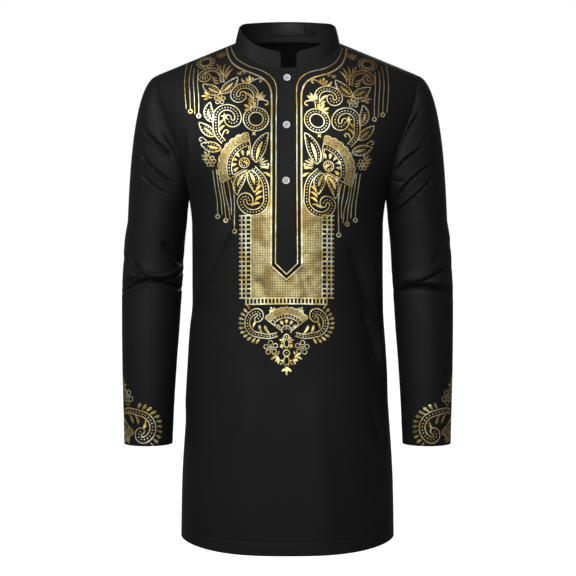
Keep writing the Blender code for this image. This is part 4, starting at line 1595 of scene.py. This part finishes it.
def cuffCloth(hand):
    # The pendant upside down on a cuff, its middle line on the sleeve's outermost one.
    def onCloth(flat):
        z = gold["cuffHeight"] - (flat[:, 1] - gold["pendantHeight"]) * gold["cuffScale"]
        across, deep = along(sleeve, "halfWidth", z), along(sleeve, "halfDepth", z)
        angle = -flat[:, 0] * gold["cuffScale"] / np.sqrt((across ** 2 + deep ** 2) / 2)
        x, y = along(sleeve, "x", z), along(sleeve, "y", z)
        return np.stack([hand * (x + np.cos(angle) * across), y - np.sin(angle) * deep, z], axis=1)
    return onCloth


pendant = both(drawn(pendantMotifs), 0) + drawn(middleMotifs)
frontPrints = [
    printed("printYoke", both(drawn(yokeMotifs), gold["drop"]), frontCloth, "frontPanel"),
    printed("printMesh", meshShapes(), frontCloth, "frontPanel"),
    printed("printPendant", pendant, frontCloth, "frontPanel"),
]
leftPrint = printed("printLeftCuff", pendant, cuffCloth(1), "leftSleeve")
rightPrint = printed("printRightCuff", pendant, cuffCloth(-1), "rightSleeve")
print("print made")

button = {
    "nodes": ("button_1", "button_2", "button_3"),
    "radius": 6,
    "thickness": 2.6,
    "rim": 1.6,
    "dish": 0.95,
    "slope": 0.5,
    "bevel": 0.45,
    "hole": 0.9,
    "holesApart": 3.1,
    "thread": 0.27,
    "strandSteps": 13,
    "strandsApart": 1.7,
    "strandsDraw": 0.5,
    "strandAside": 0.7,
    "strandBow": 0.06,
    "strandLow": 0.3,
    "strandRise": (0.6, 0.9),
    "shank": 1.5,
    "shankTop": 0.25,
    "shankDepth": 0.9,
    "winds": 4,
    "windSteps": 60,
    "post": (0.4, 0.1, -0.4, -0.9),
    "postSides": 16,
    "slant": (0.31, 0.17, 0.93),  # no thread runs this way
    "sides": 48,
    "holeSides": 20,
    "dishFaces": 0.9,  # the faces whose normals point up more than this are dished
    "roundFrom": 30,
    "smoothTo": 35,
}


def selectFaces(obj, wanted):
    bpy.ops.mesh.select_all(action="DESELECT")
    shape = bmesh.from_edit_mesh(obj.data)
    for face in shape.faces:
        face.select_set(wanted(face))
    bmesh.update_edit_mesh(obj.data)


def buttonShape():
    # A turned disc with a raised rim, a dished middle and four holes.
    bpy.ops.object.select_all(action="DESELECT")
    thickness = button["thickness"] * mm
    bpy.ops.mesh.primitive_cylinder_add(
        vertices=button["sides"], radius=button["radius"] * mm, depth=thickness,
        location=(0, 0, thickness / 2))
    disc = bpy.context.object
    bpy.ops.object.transform_apply(location=True)
    bpy.ops.object.mode_set(mode="EDIT")
    bpy.ops.mesh.select_mode(type="FACE")
    selectFaces(disc, lambda face: face.normal.z > button["dishFaces"])
    bpy.ops.mesh.inset(thickness=button["rim"] * mm)
    bpy.ops.mesh.inset(thickness=button["slope"] * mm)
    bpy.ops.transform.translate(value=(0, 0, -button["dish"] * mm))
    disc.data.materials.append(whiteButton)
    disc.data.materials.append(shadedDishButton)
    # The dished faces take the darker copy of the plastic, as painted shade in the recess.
    for face in bmesh.from_edit_mesh(disc.data).faces:
        face.material_index = int(face.select)
    bmesh.update_edit_mesh(disc.data)
    bpy.ops.object.mode_set(mode="OBJECT")
    bevelled(disc, button["bevel"], 3, button["roundFrom"])
    reach = button["holesApart"] / 2 * mm
    for x in (-reach, reach):
        for y in (-reach, reach):
            bpy.ops.mesh.primitive_cylinder_add(
                vertices=button["holeSides"], radius=button["hole"] * mm, depth=3 * thickness,
                location=(x, y, 0))
            drill = bpy.context.object
            apply(disc, "BOOLEAN", object=drill, operation="DIFFERENCE", solver="EXACT")
            bpy.data.objects.remove(drill)
    selectOnly(disc)
    bpy.ops.object.shade_smooth_by_angle(angle=np.radians(button["smoothTo"]))
    return disc


def tube(path, radius, sides=8):
    # A round thread along the path, closed at both ends.
    ahead = unit(np.gradient(path, axis=0))
    across = unit(np.cross(ahead, button["slant"]))
    up = np.cross(across, ahead)
    turn = np.linspace(0, 2 * np.pi, sides, endpoint=False)
    ringed = path[:, None] + radius * (
        np.cos(turn)[None, :, None] * across[:, None] + np.sin(turn)[None, :, None] * up[:, None])
    faces = [tuple(range(sides))[::-1], tuple(range((len(path) - 1) * sides, len(path) * sides))]
    for i in range(len(path) - 1):
        for j in range(sides):
            k = (j + 1) % sides
            faces.append((i * sides + j, i * sides + k, (i + 1) * sides + k, (i + 1) * sides + j))
    return ringed.reshape(-1, 3), faces


def merged(shapes):
    points, faces, start = [], [], 0
    for corners, sides in shapes:
        points.append(corners)
        faces += [tuple(n + start for n in face) for face in sides]
        start += len(corners)
    return np.concatenate(points), faces


def buttonThreads():
    # Two rows of strands crossed over the middle, and the wound shank below the button.
    half = button["holesApart"] / 2
    top = button["thickness"] - button["dish"]
    strands = []
    turn = np.linspace(0, np.pi, button["strandSteps"])
    down = np.array([1, 1, 0])
    for cross, height in zip((-1, 1), button["strandRise"]):
        for off in (-1, 0, 1):
            # The strands draw together where they cross.
            apart = off * button["thread"] * (button["strandsApart"] - np.sin(turn) * button["strandsDraw"])
            apart = apart * button["strandAside"]
            x = np.cos(turn) * half - apart * cross
            y = np.cos(turn) * half * cross + apart
            rise = np.sin(turn) * height + top - button["strandLow"] - button["strandBow"] * abs(off)
            over = np.stack([x, y, rise], axis=1)
            path = np.concatenate([over[[0]] * down, over, over[[-1]] * down])
            strands.append(tube(path, button["thread"]))
    winds = np.linspace(0, 2 * np.pi * button["winds"], button["windSteps"])
    reach = button["shank"]
    low = button["shankTop"] - winds / winds[-1] * button["shankDepth"]
    wound = np.stack([np.cos(winds) * reach, np.sin(winds) * reach, low], axis=1)
    strands.append(tube(wound, button["thread"]))
    strands.append(tube(np.array([[0, 0, z] for z in button["post"]]), reach, button["postSides"]))
    return merged(strands)


def makeButtons():
    disc = buttonShape()
    corners, faces = buttonThreads()
    for node in button["nodes"]:
        low, high = (np.array(corner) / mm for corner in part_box(node))
        at, out = skins["placketFlap"].find_nearest(((low + high) / 2).tolist())[:2]
        out = np.array(out)
        right = unit(np.cross([0, 0, 1.0], out))
        turn = np.stack([right, np.cross(out, right), out], axis=1)
        foot = (low + high) / 2 - out * button["thickness"] / 2
        piece = bpy.data.objects.new(node.replace("_", ""), disc.data.copy())
        bpy.context.scene.collection.objects.link(piece)
        piece.data.transform(Matrix.Translation(Vector(foot * mm)) @ Matrix(turn.tolist()).to_4x4())
        place(piece, "button", node)
        name = node.replace("button_", "buttonThread")
        place(addMesh(name, corners @ turn.T + foot, faces, whiteThread), "button")
    bpy.data.objects.remove(disc)


makeButtons()
print("buttons made")


label = {
    "tapes": [("neckLabel", "neck_label", (-30, 30)), ("sizeTab", "size_tab", (31, 49))],
    "drop": 3,
    "gap": 0.5,
    "height": 20,
    "thickness": 0.5,
    "edge": 0.15,
    "belly": 0.35,
    "columns": 31,
    "rows": 15,
}


def makeLabel(name, node, span):
    behind = collarGrid[0, :, 1] > body["middle"] + body["backNeckDepth"] / 4
    order = np.argsort(collarGrid[0, behind, 0])
    bottom, top, into = (points[behind][order] for points in (collarGrid[0], collarGrid[-1], collarInward[0]))

    x = np.linspace(*span, label["columns"])
    low, high, into = (onEach(x, bottom[:, 0], points) for points in (bottom, top, into))
    down = unit(low - high)
    hung = high + unit(into) * (collar["thickness"] + label["gap"])
    shares = np.linspace(1, 0, label["rows"])
    grid = np.array([hung + down * (label["drop"] + label["height"] * share) for share in shares])
    inward = np.broadcast_to(np.array([0, -1.0, 0]), grid.shape)
    off = np.linspace(-1, 1, label["columns"])
    belly = label["belly"] * np.sin(np.pi * shares)[:, None] * (1 - off ** 4)
    grid = grid + inward * belly[..., None]
    piece = rounded(wall(name, grid, inward, label["thickness"], blackSatin), label["edge"])
    return place(piece, "label", node)


labels = [makeLabel(*tape) for tape in label["tapes"]]
print("labels made")


stitch = {"length": 2.2, "pitch": 2.9, "width": 0.5, "height": 0.28, "sink": 0.12, "slope": 0.2}


def stitched(name, rows, cloth):
    # Raised threads, end to end along each row.
    shapes, skin = [], skins[cloth]
    half = stitch["length"] / 2
    for path in rows:
        at = distance(path)
        for middle in np.arange(stitch["pitch"] / 2, at[-1] - stitch["pitch"] / 3, stitch["pitch"]):
            near = [skin.find_nearest(onEach(middle + off, at, path).tolist()) for off in (-half, half)]
            a, b = (np.array(hit[0]) for hit in near)
            out = unit(np.array(near[0][1]) + np.array(near[1][1]))
            ahead = unit(b - a)
            side = np.cross(ahead, out) * stitch["width"] / 2
            low = -out * stitch["sink"]
            high = out * stitch["height"]
            shapes.append((np.array([
                a + side + low, a - side + low, b - side + low, b + side + low,
                a + (b - a) * stitch["slope"] + high, b + (a - b) * stitch["slope"] + high,
            ]), [(0, 1, 2, 3), (0, 3, 5, 4), (2, 1, 4, 5), (1, 0, 4), (3, 2, 5)]))
    return place(addMesh(name, *merged(shapes), blackThread), "cloth")


def rowAt(grid, z):
    return grid[np.argmin(np.abs(grid[:, 0, 2] - z))]


def hemRow(grid):
    line = torso["z"][0] + body["hemLine"]
    return [rowAt(grid, line + hemShift(torso["halfWidth"][0], line))]


def cuffRow(grid):
    row = rowAt(grid, sleeves["end"] + sleeves["hemLine"])
    return [np.concatenate([row, row[:1]])]


def collarRows():
    # Round the collar, a little inside its edge.
    inside = collar["stitchIn"]
    at = distance(collarGrid[0])
    keep = (at > inside) & (at < at[-1] - inside)
    low, high = collarGrid[0, keep], collarGrid[-1, keep]
    rise = unit(high - low) * inside
    below, above = low + rise, high - rise
    ends = [np.linspace(below[n], above[n], collar["endSteps"]) for n in (0, -1)]
    return [below, above, *ends]


def placketRows():
    # Down both edges to the point, and across above it.
    inside = placket["stitchIn"]
    half = placket["halfWidth"] - inside
    top, start = placket["top"][1], placket["pointStart"]
    tip = placket["tip"][1] + placket["stitchPoint"] * inside
    count, across = placket["stitchRows"], placket["boxSteps"]
    z = np.append(np.linspace(top - placket["stitchTop"], start, count), tip)
    edges = [(placketMiddle(z) + hand * np.append(np.full(count, half), 0), z) for hand in (-1, 1)]
    box = placketMiddle(placket["boxTop"]) + np.linspace(-half, half, across)
    edges.append((box, np.full(across, placket["boxTop"])))
    return [np.stack([x, bodyY(x, z, -1) - placket["lift"], z], axis=1) for x, z in edges]


collarStitches = stitched("collarStitches", collarRows(), "collarBand")
placketStitches = stitched("placketStitches", placketRows(), "placketFlap")
frontStitches = stitched("frontHemStitches", hemRow(frontGrid), "frontPanel")
backStitches = stitched("backHemStitches", hemRow(backGrid), "backPanel")
leftStitches = stitched("leftCuffStitches", cuffRow(leftGrid), "leftSleeve")
rightStitches = stitched("rightCuffStitches", cuffRow(rightGrid), "rightSleeve")
print("stitching made")
studio = {
    "floor": -1.55,
    "floorSize": 60,
    "floorColour": (0.9, 0.9, 0.89),
    "floorRoughness": 0.9,
    "floorGlow": {"Emission Color": (1, 1, 1, 1), "Emission Strength": 1.0},
    "world": 0.12,
    "lamps": [  # name, place, width and height, power
        ("key", (-1.35, -1.55, 0.9), (1.1, 1.1), 18.5),
        ("front", (-0.15, -2.9, 0.1), (1.7, 1.6), 22),
        ("top", (-0.45, -1.9, 1.45), (1.3, 0.9), 12),
        ("back", (0.5, 2.9, 0.8), (1.5, 1.5), 24),
    ],
    "lampsAim": (0, 0, -0.35),
    "lens": 95.6,
    "sensor": 36,
    "camera": (0.00085, -2.6, -0.29),
    "cameraAim": (0.00085, 0, -0.4145),
}


def aimed(obj, where, at):
    bpy.context.scene.collection.objects.link(obj)
    obj.location = where
    obj.rotation_euler = (Vector(at) - Vector(where)).to_track_quat("-Z", "Y").to_euler()


def makeStudio():
    bpy.ops.mesh.primitive_plane_add(size=studio["floorSize"], location=(0, 0, studio["floor"]))
    floor = bpy.context.object
    floor.name = "floor"
    pale = material("paleFloor", studio["floorColour"], studio["floorRoughness"], **studio["floorGlow"])[0]
    floor.data.materials.append(pale)
    floor.visible_diffuse = floor.visible_glossy = False  # the floor doesn't light the cloth from below
    world = bpy.data.worlds.new("studio")
    bpy.context.scene.world = world
    world.use_nodes = True
    tree = world.node_tree
    seen = node(tree, "LightPath").outputs["Is Camera Ray"]
    strength = ranged(tree, seen, studio["world"], 1)
    fill(tree, tree.nodes["Background"], {"Color": (1, 1, 1, 1), "Strength": strength})
    for name, where, size, power in studio["lamps"]:
        lamp = bpy.data.lights.new(name, "AREA")
        lamp.energy = power
        lamp.shape = "RECTANGLE"
        lamp.size, lamp.size_y = size
        obj = bpy.data.objects.new(name, lamp)
        aimed(obj, where, studio["lampsAim"])
        obj.visible_camera = False
    lens = bpy.data.cameras.new("camera")
    lens.lens = studio["lens"]
    lens.sensor_width = studio["sensor"]
    camera = bpy.data.objects.new("camera", lens)
    aimed(camera, studio["camera"], studio["cameraAim"])
    bpy.context.scene.camera = camera
    bpy.context.scene.view_settings.view_transform = "Standard"


makeStudio()
